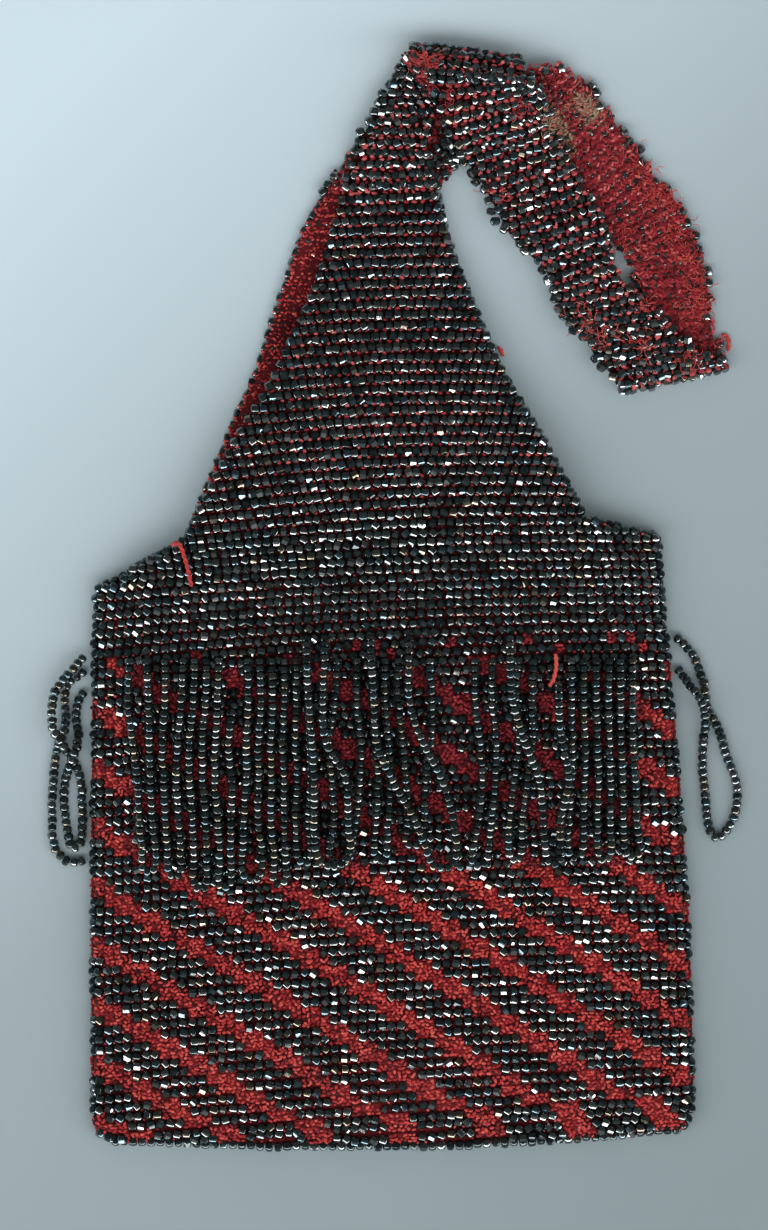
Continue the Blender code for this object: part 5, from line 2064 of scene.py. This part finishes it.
@dataclass(frozen=True)
class BarLight:
    """A long bar light beyond the foot of the photograph, for mirrored light or for all other light."""

    name: str
    strength: float
    elevation: float
    spread: float
    mirrored: bool
    distance: float = 3.0
    reach: float = 72.0
    aim: Triple = (0.0, 0.05, 0.0)

    def hang(self) -> None:
        """Hang it, turned towards the purse."""
        data = bpy.data.lights.new(self.name, "AREA")
        data.shape = "RECTANGLE"
        data.size = 2 * self.distance * math.tan(math.radians(self.reach))
        data.size_y = 2 * self.distance * math.tan(math.radians(self.spread / 2))
        data.energy = self.strength * math.pi * data.size * data.size_y
        light = bpy.data.objects.new(self.name, data)
        angle = math.radians(self.elevation)
        centre = Vector(self.aim)
        light.location = centre + Vector((0.0, -math.cos(angle), math.sin(angle))) * self.distance
        light.rotation_mode = "QUATERNION"
        light.rotation_quaternion = (centre - light.location).to_track_quat("-Z", "Y")
        light.visible_glossy = self.mirrored
        light.visible_diffuse = not self.mirrored
        bpy.context.scene.collection.objects.link(light)


@dataclass
class Studio:
    """Floor, lights and the camera that looks straight down."""

    frame_width: float = 768.0
    frame_height: float = 1230.0
    pixel: float = 0.23
    origin_px: Pair = (392.0, 850.0)
    camera_height: float = 2.5
    subject_height: float = 0.006
    # painted light: the floor's colour runs from dark at the foot to pale at the head and left, a fall of
    # light painted into it
    floor_near: Triple = (0.255, 0.315, 0.33)
    floor_middle: Triple = (0.345, 0.42, 0.448)
    floor_far: Triple = (0.63, 0.765, 0.82)
    floor_slope: Pair = (-2.1, 2.3)
    floor_range: Pair = (-0.34, 0.57)
    floor_roughness: float = 0.9
    floor_specular: float = 0.1
    floor_half: float = 3.0
    floor_drop: float = 0.0001
    ambient: float = 0.42
    ambient_colour: Triple = (0.97, 0.99, 1.0)
    mirrored_range: Pair = (-0.25, -0.95)
    mirrored_head: float = 0.085
    mirrored_foot: float = 0.6
    lights: tuple[BarLight, ...] = (BarLight("key_bar", 3.1, 62.0, 26.0, False),
                                    BarLight("glint_bar", 12.0, 15.0, 15.0, True))

    def camera(self) -> None:
        """Set the camera over the photograph's frame."""
        data = bpy.data.cameras.new("scan_camera")
        span = self.frame_height * self.pixel * METRES
        data.sensor_width = 36.0
        data.lens = data.sensor_width * self.camera_height / span
        data.clip_end = 20.0
        camera = bpy.data.objects.new("scan_camera", data)
        x = (self.frame_width / 2 - self.origin_px[0]) * self.pixel * METRES
        y = (self.origin_px[1] - self.frame_height / 2) * self.pixel * METRES
        camera.location = (x, y, self.subject_height + self.camera_height)
        bpy.context.scene.collection.objects.link(camera)
        bpy.context.scene.camera = camera

    def floor(self) -> None:
        """Lay a pale floor whose colour carries a painted fall of light: lighter towards the head and the
        left.
        """
        material, graph, shader = new_material("floor_paper")
        place = graph.add("ShaderNodeTexCoord", {}, {}, "Object")
        x, y = (graph.add("ShaderNodeSeparateXYZ", {}, {"Vector": place}, axis) for axis in ("X", "Y"))
        slope = x * self.floor_slope[0] + y * self.floor_slope[1]
        share = graph.remap(slope, *self.floor_range, 0.0, 1.0)
        ramp = {"stops": ((0.0, self.floor_near), (0.5, self.floor_middle), (1.0, self.floor_far))}
        graph.feed(shader.inputs["Base Color"], graph.add("ShaderNodeValToRGB", ramp, {"Fac": share}))
        shader.inputs["Roughness"].default_value = self.floor_roughness
        shader.inputs["Specular IOR Level"].default_value = self.floor_specular
        mesh = bpy.data.meshes.new("floor")
        half = self.floor_half
        corners = ((-half, -half, 0), (half, -half, 0), (half, half, 0), (-half, half, 0))
        mesh.from_pydata(corners, [], [(0, 1, 2, 3)])
        mesh.materials.append(material)
        floor = bpy.data.objects.new("floor", mesh)
        floor.location.z = -self.floor_drop
        bpy.context.scene.collection.objects.link(floor)

    def world(self) -> None:
        """Even, soft light all round, which glossy surfaces see as dark, and as grey towards the foot."""
        world = bpy.data.worlds.new("even_light")
        bpy.context.scene.world = world
        world.use_nodes = True
        graph = ShaderGraph(world.node_tree)
        background = world.node_tree.nodes["Background"]
        background.inputs["Color"].default_value = (*self.ambient_colour, 1.0)
        place = graph.add("ShaderNodeTexCoord", {}, {}, "Generated")
        y = graph.add("ShaderNodeSeparateXYZ", {}, {"Vector": place}, "Y")
        mirrored = graph.remap(y, *self.mirrored_range, self.mirrored_head, self.mirrored_foot)
        glossy = graph.add("ShaderNodeLightPath", {}, {}, "Is Glossy Ray")
        graph.feed(background.inputs["Strength"], glossy * (mirrored - self.ambient) + self.ambient)

    def build(self) -> None:
        """Set up everything that isn't the purse."""
        scene = bpy.context.scene
        scene.view_settings.view_transform = "Standard"
        self.camera()
        self.floor()
        self.world()
        for light in self.lights:
            light.hang()


def main() -> None:
    """Build the studio and every piece of the purse."""
    logging.basicConfig(level=logging.INFO, format="%(message)s")
    form = PouchForm()
    dresser = Dresser()
    builders: list[Callable[[], None]] = [
        Studio().build,
        Pouch(form, dresser).build,
        Strap(dresser).build,
        Strands(form, dresser).build,
        Tails(form, dresser).build,
    ]
    for build in builders:
        build()


if __name__ == "__main__":
    main()
